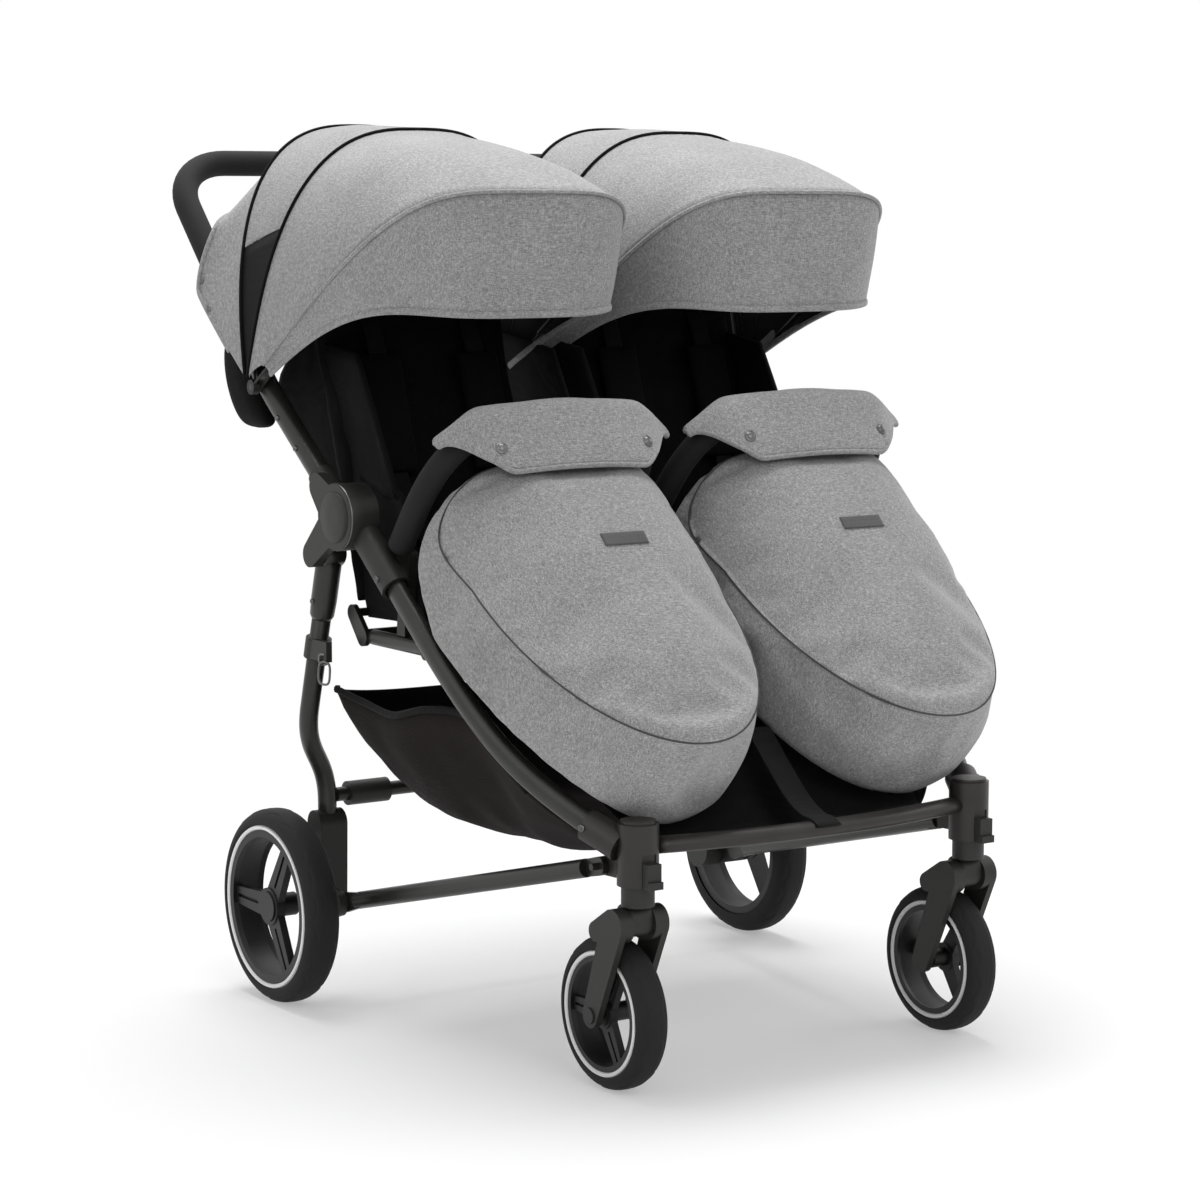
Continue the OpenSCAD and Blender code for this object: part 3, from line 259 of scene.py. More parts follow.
def shader(name, color, rough, **sockets):
    m = bpy.data.materials.new(name)
    m.use_nodes = True
    tree = m.node_tree
    b = tree.nodes["Principled BSDF"]
    b.inputs["Base Color"].default_value = (*color, 1)
    b.inputs["Roughness"].default_value = rough
    for k, v in sockets.items():
        b.inputs[k.replace("_", " ")].default_value = v
    return m, tree, b


def speckle(tree, scale, detail=2.0, rough=0.5):
    """Noise in the row frame, stretched by scale along X, Y and Z."""
    coord = tree.nodes.new("ShaderNodeTexCoord")
    place = tree.nodes.new("ShaderNodeMapping")
    place.inputs["Scale"].default_value = scale
    tex = tree.nodes.new("ShaderNodeTexNoise")
    tex.inputs["Scale"].default_value = 1.0
    tex.inputs["Detail"].default_value = detail
    tex.inputs["Roughness"].default_value = rough
    tree.links.new(coord.outputs["Object"], place.inputs["Vector"])
    tree.links.new(place.outputs["Vector"], tex.inputs["Vector"])
    return tex.outputs["Fac"]


def calc(tree, kind, a, b):
    n = tree.nodes.new("ShaderNodeMath")
    n.operation = kind
    for k, v in enumerate((a, b)):
        if isinstance(v, (int, float)):
            n.inputs[k].default_value = v
        else:
            tree.links.new(v, n.inputs[k])
    return n.outputs[0]


def ramp(tree, fac, stops):
    n = tree.nodes.new("ShaderNodeValToRGB")
    e = n.color_ramp.elements
    while len(e) < len(stops):
        e.new(0.5)
    for k, (at, c) in enumerate(stops):
        e[k].position = at
        e[k].color = (*c, 1) if len(c) == 3 else c
    tree.links.new(fac, n.inputs["Fac"])
    return n.outputs["Color"]


def bump(tree, bsdf, height, strength, distance):
    n = tree.nodes.new("ShaderNodeBump")
    n.inputs["Strength"].default_value = strength
    n.inputs["Distance"].default_value = distance
    tree.links.new(height, n.inputs["Height"])
    tree.links.new(n.outputs["Normal"], bsdf.inputs["Normal"])


def grey(v):
    return (v, v, v)


def rough_between(tree, bsdf, fac, low, high):
    tree.links.new(ramp(tree, fac, [(0.3, grey(low)), (0.7, grey(high))]), bsdf.inputs["Roughness"])


def weave(tree, pitch):
    """Over and under threads, as a height from 0 to 1."""
    coord = tree.nodes.new("ShaderNodeTexCoord")
    found = []
    for turn in ((0, 0, 0), (0.9, 0, math.pi / 2)):
        place = tree.nodes.new("ShaderNodeMapping")
        place.inputs["Rotation"].default_value = turn
        wave = tree.nodes.new("ShaderNodeTexWave")
        wave.inputs["Scale"].default_value = 0.314 / pitch
        wave.inputs["Distortion"].default_value = 1.2
        wave.inputs["Detail Scale"].default_value = 2.0
        tree.links.new(coord.outputs["Object"], place.inputs["Vector"])
        tree.links.new(place.outputs["Vector"], wave.inputs["Vector"])
        found.append(wave.outputs["Fac"])
    return calc(tree, "MAXIMUM", *found)


def melange(name, dark, mid, light):
    """Grey cloth spun from dark and pale threads, with slubs both ways."""
    m, tree, b = shader(name, mid, 0.92, Sheen_Weight=0.25, Sheen_Roughness=0.5, Specular_IOR_Level=0.2)
    across = speckle(tree, (170, 800, 800), 2)
    down = speckle(tree, (900, 220, 220), 2)
    fine = speckle(tree, (800, 800, 800), 1)
    f = calc(tree, "ADD", calc(tree, "MULTIPLY", across, 0.42), calc(tree, "MULTIPLY", down, 0.34))
    f = calc(tree, "ADD", f, calc(tree, "MULTIPLY", fine, 0.24))
    broad = speckle(tree, (9, 9, 9), 3)
    f2 = calc(tree, "ADD", f, calc(tree, "MULTIPLY", calc(tree, "SUBTRACT", broad, 0.5), 0.1))
    tree.links.new(ramp(tree, f2, [(0.36, dark), (0.5, mid), (0.64, light)]), b.inputs["Base Color"])
    bump(tree, b, calc(tree, "ADD", f, calc(tree, "MULTIPLY", weave(tree, 0.0011), 0.35)), 0.5, 0.0006)
    return m


def dark_cloth(name, low, high, pitch, rough=0.85, sheen=0.02):
    m, tree, b = shader(name, high, rough, Sheen_Weight=sheen, Sheen_Roughness=0.4, Specular_IOR_Level=0.12)
    grain = speckle(tree, (900, 900, 900), 2)
    broad = speckle(tree, (14, 14, 14), 3)
    f = calc(tree, "ADD", calc(tree, "MULTIPLY", grain, 0.6), calc(tree, "MULTIPLY", broad, 0.4))
    tree.links.new(ramp(tree, f, [(0.35, low), (0.65, high)]), b.inputs["Base Color"])
    bump(tree, b, calc(tree, "ADD", weave(tree, pitch), calc(tree, "MULTIPLY", grain, 0.5)), 0.45, 0.0005)
    return m


def moulded(name, low, high, rough, grain=2200, depth=0.00012, **sockets):
    """Plastic or paint with a fine grain and slightly uneven gloss."""
    m, tree, b = shader(name, high, rough, **sockets)
    fine = speckle(tree, (grain,) * 3, 2)
    broad = speckle(tree, (22, 22, 22), 4)
    tree.links.new(ramp(tree, broad, [(0.35, low), (0.65, high)]), b.inputs["Base Color"])
    gloss = calc(tree, "ADD", calc(tree, "MULTIPLY", fine, 0.5), calc(tree, "MULTIPLY", broad, 0.5))
    rough_between(tree, b, gloss, rough - 0.07, rough + 0.07)
    bump(tree, b, fine, 0.35, depth)
    return m


GREY = melange("grey_melange", grey(0.17), grey(0.29), grey(0.45))
BLACK = dark_cloth("black_cloth", grey(0.0025), grey(0.006), 0.0012)
LINING = dark_cloth("canopy_lining", grey(0.002), grey(0.004), 0.0012)
NET = dark_cloth("black_net", grey(0.0015), grey(0.004), 0.0022, 0.7)
BASKET = dark_cloth("basket_cloth", (0.011, 0.008, 0.008), (0.020, 0.015, 0.015), 0.0014)
WEBBING = dark_cloth("webbing", grey(0.005), grey(0.010), 0.0016, 0.7)
# painted shade: a dark colour for the thin line along the muff's seam, standing in for the shadow in the seam
# crease
SEAM_SHADE = moulded("painted_seam_shade", grey(0.035), grey(0.06), 0.8)
PAINT = moulded("frame_paint", (0.017, 0.017, 0.015), (0.024, 0.024, 0.021), 0.36, 3000, 0.00005,
                Metallic=0.35, Coat_Weight=0.12, Coat_Roughness=0.3)
GUNMETAL = moulded("gunmetal", (0.020, 0.017, 0.016), (0.028, 0.024, 0.023), 0.42, 3000, 0.00005,
                   Metallic=0.3)
PLASTIC = moulded("grained_plastic", (0.012, 0.012, 0.011), (0.018, 0.018, 0.016), 0.5, 1800, 0.0002,
                  Specular_IOR_Level=0.4)
RIM = moulded("rim_plastic", grey(0.007), grey(0.011), 0.5, 1800, 0.0002, Specular_IOR_Level=0.4)
FOAM = moulded("foam", grey(0.008), grey(0.013), 0.88, 1100, 0.0006, Specular_IOR_Level=0.35)
TYRE = moulded("tyre_rubber", grey(0.006), grey(0.011), 0.78, 1300, 0.0003, Specular_IOR_Level=0.35)
RING = moulded("white_ring", grey(0.76), grey(0.84), 0.4, 1500, 0.00005)
STEEL = moulded("dark_steel", grey(0.10), grey(0.16), 0.3, 2500, 0.00003, Metallic=0.9)
PATCH = dark_cloth("patch_cloth", grey(0.09), grey(0.13), 0.0008, 0.85, 0.1)

NODE_LOOKS = {
    "frame_paint": PAINT, "hub_plastic": PLASTIC, "bow_wire": RIM, "foam": FOAM, "grey_fabric": GREY,
    "black_fabric": BLACK, "basket_fabric": BASKET, "tyre": TYRE, "rim_plastic": RIM, "white_ring": RING,
}
for part in frame["record"]["subparts"]:
    mesh = nodes[part["node"]].data
    mesh.materials.clear()
    mesh.materials.append(NODE_LOOKS[part["material_slot"]])
for name in ("front_housing_left", "front_housing_right"):
    nodes[name].data.materials[0] = GUNMETAL


def settle(obj, body, slot, *stands_for):
    """Rides a body and stands for the named nodes. The slot is not used."""
    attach(obj, body)
    if stands_for:
        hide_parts(*stands_for)
    return obj


# frame tubes


def side_at(x, s):
    s = np.array(s, float)
    low = np.minimum(s, LOWER_LEN)
    high = np.maximum(s - LOWER_LEN, 0)
    y = HUB[0] + low * math.cos(LOWER_A) + high * math.cos(UPPER_A)
    z = HUB[1] + low * math.sin(LOWER_A) + high * math.sin(UPPER_A)
    return np.stack([np.broadcast_to(x, s.shape), y, z], -1)


def handle_path(start):
    """The left arm from a distance up the tube, round the corner and across to the right."""
    s = np.linspace(start, HANDLE_LEN - BEND_R, 60)
    arm = side_at(-HANDLE_X, s)
    if start < LOWER_LEN:
        kernel = np.ones(5) / 5
        for k in (1, 2):
            arm[2:-2, k] = np.convolve(arm[:, k], kernel, "valid")
    a = np.radians(np.linspace(0, 90, 14)[1:])
    bend = side_at(-HANDLE_X + BEND_R * (1 - np.cos(a)), HANDLE_LEN - BEND_R * (1 - np.sin(a)))
    half = np.vstack([arm, bend])
    return np.vstack([half, half[::-1] * (-1, 1, 1)])


handle = piece("handle", *tube(row(handle_path(48)), 0.013, up=(0, -0.7, 0.7), sides=28), PAINT)
settle(handle, "handle_frame", "frame_paint", "handle_tube")
grip_from = HANDLE_LEN - 128 - BEND_R
grip = piece("grip", *tube(row(handle_path(grip_from)), 0.016, up=(0, -0.7, 0.7), sides=32, dome=0.25), FOAM)
settle(grip, "handle_frame", "foam", "handle_grip")

LEG_A = math.radians(218.4)
LEG_D = np.array([0, math.cos(LEG_A), math.sin(LEG_A)])
HUB_LEFT = np.array([-332.0, *HUB])
leg_top = HUB_LEFT + LEG_D * 122
leg_end = np.array([CASTER[0] - 46 * 0.43, CASTER[1] + 46 * 0.6, 277 + 46 * 0.2])
leg_dir = unit([0.37, -0.83, -0.42])
reach = np.linalg.norm(leg_end - leg_top)
leg_path = bezier(leg_top, leg_top + LEG_D * reach * 0.55, leg_end - leg_dir * reach * 0.37, leg_end, 48)
leg_path = np.vstack([[HUB_LEFT + LEG_D * 82], leg_path])
leg = piece("leg_left", *tube(row(leg_path), 0.014, 0.011, up=(0, -LEG_D[2], LEG_D[1]), sides=28), PAINT)
for side, obj in pair(leg).items():
    settle(obj, "front_frame", "frame_paint", f"front_leg_{side}")

CROSS_HALF, CROSS_BOW, CROSS_Z = 208.4, 24.0, 277.0


def cross_y(x):
    """The front cross tube bows forward between the casters."""
    return CASTER[1] - CROSS_BOW * (1 - (x / CROSS_HALF) ** 2)


cross_x = np.linspace(-1, 1, 40) * CROSS_HALF
cross_path = np.stack([cross_x, cross_y(cross_x), np.full(40, CROSS_Z)], 1)
cross = piece("cross_bar", *tube(row(cross_path), 0.013, 0.0095, up=(0, 1, 0), sides=28), GUNMETAL)
settle(cross, "front_frame", "frame_paint", "front_cross_tube")

rear_p = np.array([-331.0, 100.0, 557.0])
rear_bend = np.array([-331.0, 154.0, 367.62])
rear_low = np.array([-289.0, 189.8, 191.97 + 49.77])
rear_foot = np.array([-289.0, 189.8, 191.97])
rear_d = unit(rear_bend - rear_p)
span = np.linalg.norm(rear_low - rear_bend)
rear_path = bezier(rear_bend, rear_bend + rear_d * span * 0.5, rear_low + (0, 0, span * 0.45), rear_low, 30)
rear_path = np.vstack([[rear_p + rear_d * 12], rear_path, [rear_foot]])
rear_parts = [
    tube(row(rear_path), 0.0115, up=(1, 0, 0), sides=28),
    tube(row([rear_p + rear_d * s for s in (4, 14, 60, 78, 82)]), [0.014, 0.0155, 0.0155, 0.0145, 0.0125],
         up=(1, 0, 0)),
    tube(row([rear_p + (x, 0, 0) for x in (-12.4, -11, 13, 15)]), [0.0135, 0.0156, 0.0156, 0.0135],
         up=(0, 0, 1)),
]
rear_leg = piece("strut_left", *joined(rear_parts), PAINT)
for side, obj in pair(rear_leg).items():
    settle(obj, "rear_frame", "frame_paint", f"rear_leg_{side}")


def bar_at(s):
    s = np.radians(np.array(s, float))
    h = np.abs(np.sin(s)) ** (2 / 3.3)
    return np.stack([-SEAT_X - 146 * spow(np.cos(s), 2 / 3.3), -50 - 104 * h, 588 + 137 * h], -1)


into_socket = (0, 9, -12)
bar_bend = bar_at(np.linspace(0, 180, 61))
bar_path = np.vstack([bar_at([0]) + into_socket, bar_bend, bar_at([180]) + into_socket])
bumper = piece("bumper_left", *tube(row(spline(bar_path, 90)), 0.015, up=(0, 1, 0.6), sides=32), FOAM)
for side, obj in pair(bumper).items():
    settle(obj, "front_frame", "foam", f"bumper_bar_{side}")

# canopies
BOW_C, BOW_HALF = -190.0, 172.0
REAR_R, MID_R, FRONT_R, HEM_R, EDGE_R = 307.0, 311.0, 415.0, 352.0, 236.0
EDGE_A, REAR_A, MID_A, FRONT_A, HEM_A = 39.0, 80.0, 108.0, 147.0, 165.0
REAR_FULL, FRONT_FULL, HEM_FULL, EDGE_FULL = 2.6, 4.4, 3.8, 7.0
HEM_HALF, EDGE_TURN = 158.0, 20.0
SKIN = 10.0


def arch(half, reach, angle, s, e):
    """A point on an arch round the canopy pivot, angles in degrees."""
    s, angle = np.radians(s), np.radians(angle)
    r = reach * np.maximum(np.sin(s), 1e-4) ** (2 / e)
    return np.stack(np.broadcast_arrays(BOW_C - half * spow(np.cos(s), 2 / e), PIVOT[0] + r * np.cos(angle),
                                        PIVOT[1] + r * np.sin(angle)), -1)


def hood_reach(a):
    back = np.clip((a - REAR_A) / (MID_A - REAR_A), 0, 1)
    front = np.clip((a - MID_A) / (FRONT_A - MID_A), 0, 1)
    low = mix(REAR_R, MID_R, back) - 24 * back * (1 - back)
    high = mix(MID_R, FRONT_R, front ** 1.25) - 30 * front * (1 - front)
    return np.where(a <= MID_A, low, high)


def hood_full(a):
    return mix(REAR_FULL, FRONT_FULL, np.clip((a - REAR_A) / (FRONT_A - REAR_A), 0, 1) ** 2.4)


def hood(s, a, grow):
    return arch(BOW_HALF + grow, hood_reach(a) + grow, a, s, hood_full(a))


def visor(s, v, grow):
    share = np.maximum(np.sin(np.radians(s)), 0) ** 0.9
    top = arch(BOW_HALF + grow, FRONT_R + grow, FRONT_A, s, FRONT_FULL)
    reach, angle = mix(FRONT_R, HEM_R, share), mix(FRONT_A + 6, HEM_A, share)
    low = arch(HEM_HALF + grow, reach + grow, angle, s, HEM_FULL)
    v = np.asarray(v, float)[..., None]
    out = mix(top, low, v)
    out[..., 1] -= 14 * v[..., 0] * (1 - v[..., 0]) * np.sin(np.radians(s))
    return out


def rear_panel(s, t, grow):
    """Straight from the loose rear edge to the rear bow, drawn in a little between them."""
    q = np.clip((np.sin(np.radians(s)) ** (2 / EDGE_FULL) - 0.7) / 0.22, 0, 1)
    edge = arch(BOW_HALF + grow - 4, EDGE_R + grow, EDGE_A + EDGE_TURN * q * q * (3 - 2 * q), s, EDGE_FULL)
    bow = arch(BOW_HALF + grow, REAR_R + grow, REAR_A, s, REAR_FULL)
    t = np.asarray(t, float)[..., None]
    out = mix(edge, bow, t)
    draw = 10 * t * (1 - t) * np.sin(np.radians(s))[..., None] ** 0.5
    return out - draw * unit(out - np.array([BOW_C, *PIVOT]))


def declare(obj):
    return obj


def cloth_grid(name, pts, mats, amount, size, seed, hold=None):
    """A sheet from a grid of points in mm, gently uneven away from its held edges."""
    m, n = pts.shape[:2]
    p = row(pts)
    du = np.gradient(p, axis=0)
    dv = np.gradient(p, axis=1)
    normal = np.cross(dv, du)
    normal /= np.maximum(np.linalg.norm(normal, axis=-1, keepdims=True), 1e-9)
    lift = ripple(p, amount, size, seed).reshape(m, n)
    if hold is not None:
        lift = lift * hold
    p = p + normal * lift[..., None]
    return piece(name, p.reshape(-1, 3), grid_faces(m, n), mats)


def edge_fade(m, n, rows=3, cols=3):
    i = np.minimum(np.arange(m), np.arange(m)[::-1]) / rows
    j = np.minimum(np.arange(n), np.arange(n)[::-1]) / cols
    return np.outer(np.clip(i, 0, 1), np.clip(j, 0, 1))


FIRST_S = 0.6
S = 90 - (90 - FIRST_S) * np.cos(np.linspace(0, math.pi, 73))
grey_lined = [GREY, LINING]

rear_t = np.linspace(0, 1, 14)
pts = rear_panel(S[:, None], rear_t[None, :], SKIN)
rear_sheet = cloth_grid("canopy_back_left", pts, grey_lined, 0.0022, 0.11, 3, edge_fade(73, 14))
thicken(rear_sheet, 0.0022, 1, 0)

# the lower outer and inner corners between the two piped seams are net
back_t = np.linspace(0, 1, 17)
net_top = mix(26.0, 31.0, back_t)
back_a = mix(REAR_A, MID_A, back_t)
rows_s = (0.5 - 0.5 * np.cos(np.linspace(0, math.pi, 61)))[:, None]
s_mid = mix(net_top[None, :], 180 - net_top[None, :], rows_s)
pts = hood(s_mid, back_a[None, :], SKIN)
hood_back = cloth_grid("canopy_mid_left", pts, grey_lined, 0.0022, 0.12, 5, edge_fade(61, 17, 2, 3))
thicken(hood_back, 0.0022, 1, 0)
rows_n = (np.linspace(0, 1, 16) ** 1.8)[:, None]
net_parts = []
for flip in (False, True):
    s_net = mix(FIRST_S, net_top[None, :], rows_n)
    s_net = 180 - s_net[::-1] if flip else s_net
    net_parts.append(row(hood(s_net, back_a[None, :], SKIN - 0.4)))
net_verts = np.vstack([p.reshape(-1, 3) for p in net_parts])
net_faces = grid_faces(16, 17) + grid_faces(16, 17, first=272)
net = piece("canopy_net_left", net_verts, net_faces, [NET, LINING])
thicken(net, 0.0015, 1, 1)

front_t = np.linspace(0, 1, 21)
pts = hood(S[:, None], mix(MID_A, FRONT_A, front_t)[None, :], SKIN)
hood_front = cloth_grid("canopy_top_left", pts, grey_lined, 0.0024, 0.13, 9, edge_fade(73, 21))
thicken(hood_front, 0.0022, 1, 0)

visor_v = np.linspace(0, 1, 14)
pts = visor(np.broadcast_to(S[:, None], (73, 14)), np.broadcast_to(visor_v[None, :], (73, 14)), SKIN)
visor_sheet = cloth_grid("canopy_visor_left", pts, grey_lined, 0.0016, 0.14, 13, edge_fade(73, 14))
thicken(visor_sheet, 0.003, 1, 0)


def seam_line(points, r):
    return tube(row(points), r, up=(0, 0, 1), sides=10)


S_FINE = 90 - (90 - FIRST_S) * np.cos(np.linspace(0, math.pi, 140))
piping_rear = piece("canopy_piping_rear_left", *seam_line(hood(S_FINE, REAR_A, SKIN + 1), 0.0022), BLACK)
piping_mid = piece("canopy_piping_mid_left", *seam_line(hood(S_FINE, MID_A, SKIN + 1), 0.0022), BLACK)
ridge = piece("canopy_ridge_left", *seam_line(hood(S_FINE, FRONT_A, SKIN + 1), 0.0024), GREY)
hem_path = row(visor(S_FINE, np.ones(140), SKIN))
edge_path = row(rear_panel(S_FINE, np.zeros(140), SKIN))
hem = piece("canopy_hem_left", *tube(hem_path, 0.0045, 0.0024, sides=12), GREY)
edge_hem = piece("canopy_edge_left", *tube(edge_path, 0.0045, 0.0024, sides=12), GREY)

rear_snaps = []
for s_at in (9.0, 22.0):
    at = rear_panel(np.array([s_at]), np.array([0.07]), SKIN)[0]
    knob = [(-0.001, 0.0062), (0.0012, 0.0060), (0.0016, 0.0052), (0.0030, 0.0040), (0.0034, 0.0001)]
    rear_snaps.append(lathe(knob, row(at), (-1, 0, 0), 24))
canopy_snaps = piece("canopy_snaps_left", *joined(rear_snaps), STEEL)


def turn_points(angle_from, angle_to, r=300):
    """Two points along the direction of travel between two angles round the canopy pivot."""
    out = []
    for a in (angle_from, angle_to):
        a = math.radians(a)
        out.append(row([0, PIVOT[0] + r * math.cos(a), PIVOT[1] + r * math.sin(a)]))
    return out


for side in SIDES:
    body = f"canopy_{side}"
    back = settle(own(rear_sheet, side), "handle_frame", "grey_fabric", f"canopy_rear_{side}")
    declare(back)
    start, end = turn_points(REAR_A + 6, MID_A - 6)
    mid = own(hood_back, side)
    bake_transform(mid)
    declare(mid)
    net_side = own(net, side)
    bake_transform(net_side)
    declare(net_side)
    start, end = turn_points(MID_A + 5, FRONT_A - 5)
    top = own(hood_front, side)
    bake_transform(top)
    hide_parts(f"canopy_hood_{side}")
    declare(top)
    declare(settle(own(visor_sheet, side), body, "grey_fabric"))
    settle(own(piping_rear, side), "handle_frame", "black_fabric")
    settle(own(piping_mid, side), f"canopy_mount_{side}", "black_fabric")
    settle(own(ridge, side), body, "grey_fabric")
    settle(own(hem, side), body, "grey_fabric")
    settle(own(edge_hem, side), "handle_frame", "grey_fabric")
    settle(own(canopy_snaps, side), "handle_frame", "frame_paint")

# footmuffs
MUFF_A = math.radians(227.8)
MD = np.array([math.cos(MUFF_A), math.sin(MUFF_A)])
MN = np.array([MD[1], -MD[0]])
MUFF_TOP = np.array([-150.0, 694.0])
MUFF_HALF, MUFF_LEN, MUFF_CROWN = 158.0, 423.0, 20.0
MUFF_TOE, MUFF_SEAM, MUFF_HEEL, MUFF_RIM = 18.0, 50.0, 101.0, 142.0
MUFF_MID = MUFF_LEN * 0.37
OUT = np.array([0, MN[0], MN[1]])


def muff_pt(x, d, n):
    x, d, n = np.broadcast_arrays(x, d, n)
    y = MUFF_TOP[0] + d * MD[0] + n * MN[0]
    z = MUFF_TOP[1] + d * MD[1] + n * MN[1]
    return np.stack([x - SEAT_X, y, z], -1)


def muff(q, c, s, back=0.0, grow=0.0):
    """A point of the outer skin. q runs from the panel's middle to its seam, back from there to the rim."""
    e = np.where(s > 0, 2.05, 4.6)
    h = np.where(s > 0, MUFF_LEN - MUFF_MID, MUFF_MID - 15)
    k = spow(s, 2 / e)
    side = -MUFF_SEAM + (MUFF_TOE + MUFF_HEEL) / 2 * k + ((MUFF_TOE - MUFF_HEEL) / 2 + MUFF_SEAM) * k * k
    near = np.abs(c) ** 2.4
    seam_n = np.where(s >= 0, side, mix(-11, side, near))
    rim_n = np.where(s >= 0, -MUFF_RIM * (1 - 0.16 * k - s * np.where(c < 0, 0.42, 0.1) * np.abs(c)),
                     mix(-40, -MUFF_RIM * (1 + 0.25 * k), near))
    power = mix(3.6, mix(4.2, 2.5, smooth(1.6 * s)), np.abs(c) ** 0.7)
    toe = 16 * np.maximum(0, s) ** 2 * (np.asarray(q) ** 3 - np.asarray(q) ** 9)
    x = (MUFF_HALF * q + grow) * spow(c, 2 / e)
    d = MUFF_MID + (h * q + grow) * k
    n = MUFF_CROWN + (seam_n - MUFF_CROWN) * q ** power + toe - back * (seam_n - rim_n)
    return muff_pt(x, d, n)


PANEL = 49
u = np.linspace(-1, 1, PANEL)
uu, vv = np.meshgrid(u, u, indexing="ij")
dx = uu * np.sqrt(1 - vv ** 2 / 2)
dy = vv * np.sqrt(1 - uu ** 2 / 2)
dq = np.minimum(np.sqrt(dx ** 2 + dy ** 2), 1)
ang = np.arctan2(dy, dx)
panel = muff(dq, np.cos(ang), np.sin(ang))
k = PANEL - 1
ring_ij = ([(i, 0) for i in range(k)] + [(k, j) for j in range(k)] + [(i, k) for i in range(k, 0, -1)]
           + [(0, j) for j in range(k, 0, -1)])
ring_ids = [i * PANEL + j for i, j in ring_ij]
ring_ang = np.array([ang[i, j] for i, j in ring_ij])
rc, rs = np.cos(ring_ang), np.sin(ring_ang)
walls = []
for b in np.linspace(0, 1, 13)[1:]:
    toe_swell = 5 + 8 * np.maximum(0, rs) + 12 * np.maximum(0, rs * np.abs(rc))
    swell = 9 * math.sin(math.pi * b * 0.8) + b * toe_swell
    walls.append(muff(1.0, rc, rs, b, swell * (1 - 0.7 * np.maximum(0, -rs))))
walls.append(muff(1.0, rc, rs, 0.985, 0.0))
walls.append(muff(1.0, rc, rs, 0.8, -3.0))
muff_verts = np.vstack([panel.reshape(-1, 3)] + walls)
muff_faces = grid_faces(PANEL, PANEL)
ring_n = len(ring_ids)
prev = ring_ids
for w in range(len(walls)):
    here = [PANEL * PANEL + w * ring_n + j for j in range(ring_n)]
    for j in range(ring_n):
        nxt = (j + 1) % ring_n
        muff_faces.append((prev[j], here[j], here[nxt], prev[nxt]))
    prev = here
muff_obj = piece("muff_left", row(muff_verts), muff_faces, GREY)


def simulate(obj, pins, pressure, cap, swell=0.02, frames=18, bending=1.2):
    """Blows the cloth out between its pinned points, then keeps the result as the mesh."""
    group = obj.vertex_groups.new(name="pins")
    for i, w in pins.items():
        group.add([i], w, "REPLACE")
    rest = np.array([v.co for v in obj.data.vertices])
    mod = obj.modifiers.new("cloth", "CLOTH")
    c = mod.settings
    c.quality = 6
    c.mass = 0.25
    c.tension_stiffness = 20
    c.compression_stiffness = 20
    c.shear_stiffness = 8
    c.bending_stiffness = bending
    c.vertex_group_mass = "pins"
    c.use_pressure = True
    c.uniform_pressure_force = pressure
    c.shrink_min = -swell
    c.effector_weights.gravity = 0
    mod.point_cache.frame_start = 1
    mod.point_cache.frame_end = frames
    for f in range(1, frames + 1):
        scene.frame_set(f)
    dg = bpy.context.evaluated_depsgraph_get()
    shaped = obj.evaluated_get(dg).to_mesh()
    moved = np.array([v.co for v in shaped.vertices]) - rest
    size = np.linalg.norm(moved, axis=1, keepdims=True)
    moved *= np.minimum(1, cap / np.maximum(size, 1e-9))
    obj.modifiers.remove(mod)
    obj.vertex_groups.clear()
    obj.data.vertices.foreach_set("co", (rest + moved).astype(np.float32).ravel())
    obj.data.update()
    scene.frame_set(1)


pins = {i: 1.0 for i in ring_ids}
for w in (len(walls) - 3, len(walls) - 2, len(walls) - 1):
    for j in range(ring_n):
        pins[PANEL * PANEL + w * ring_n + j] = 1.0
simulate(muff_obj, pins, 1.6, 0.009, 0.02)
subdivide(muff_obj)
seam_pts = row(muff(1.0, rc, rs, 0.0, 0.4))
# a thin dark line along the muff's seam, painted shade of the seam crease rather than a thread
seam = piece("muff_seam_left", *tube(seam_pts, 0.0011, up=(0, 0.6, 0.7), sides=8, closed=True), SEAM_SHADE)


def hits(obj, starts, way):
    """Where rays meet a piece, with the surface's direction there."""
    tree = BVHTree.FromPolygons([v.co for v in obj.data.vertices], [p.vertices for p in obj.data.polygons])
    found = [tree.ray_cast(Vector(p), Vector(way)) for p in starts]
    return [(np.array(h[0]), np.array(h[1])) for h in found]


# bare patch sewn on the panel
patch_x = np.linspace(-29, 29, 17)
patch_d = np.linspace(148, 165, 7)
starts = row(np.array([[muff_pt(x + 4, d, 120.0) for d in patch_d] for x in patch_x]).reshape(-1, 3))
patch_at = np.array([h[0] for h in hits(muff_obj, starts, -OUT)]) + OUT * 0.0007
patch = piece("muff_patch_left", patch_at, grid_faces(17, 7), PATCH)
thicken(patch, 0.0007, 0, 0, 1)

# flap over the bar, stiff enough to stand straight at its corners
FLAP_T = np.linspace(-1, 1, 61)
rows_f = []
for t in FLAP_T:
    fall = 6 * min(1, abs(t) / 0.68) ** 2 + 34 * max(0, (abs(t) - 0.68) / 0.32) ** 1.1
    r = mix(17, 3.5, float(smooth((abs(t) - 0.68) / 0.32)))
    c = np.array([-SEAT_X + 155 * t, -154 + 19 * t * t, 742 - fall - r])
    drop = 3 + 56 * float(smooth((1 - abs(t)) / 0.46))
    arc = np.radians(np.linspace(-100, 61, 18))
    line = [c + (0, -r * math.sin(a), r * math.cos(a)) for a in arc]
    line += [line[-1] + drop * v * np.array([0, -0.55, -1]) for v in np.linspace(0.08, 1, 10)]
    rows_f.append(line)
flap_pts = np.array(rows_f)
flap = cloth_grid("muff_flap_left", flap_pts, GREY, 0.0014, 0.06, 21, edge_fade(*flap_pts.shape[:2], 4, 2))
thicken(flap, 0.005, 0, 0, 1)
subdivide(flap)
flap_edge = np.vstack([flap_pts[0, 4:-1], flap_pts[:, -1], flap_pts[-1, 4:-1][::-1]]) + (0, -2.5, 0)
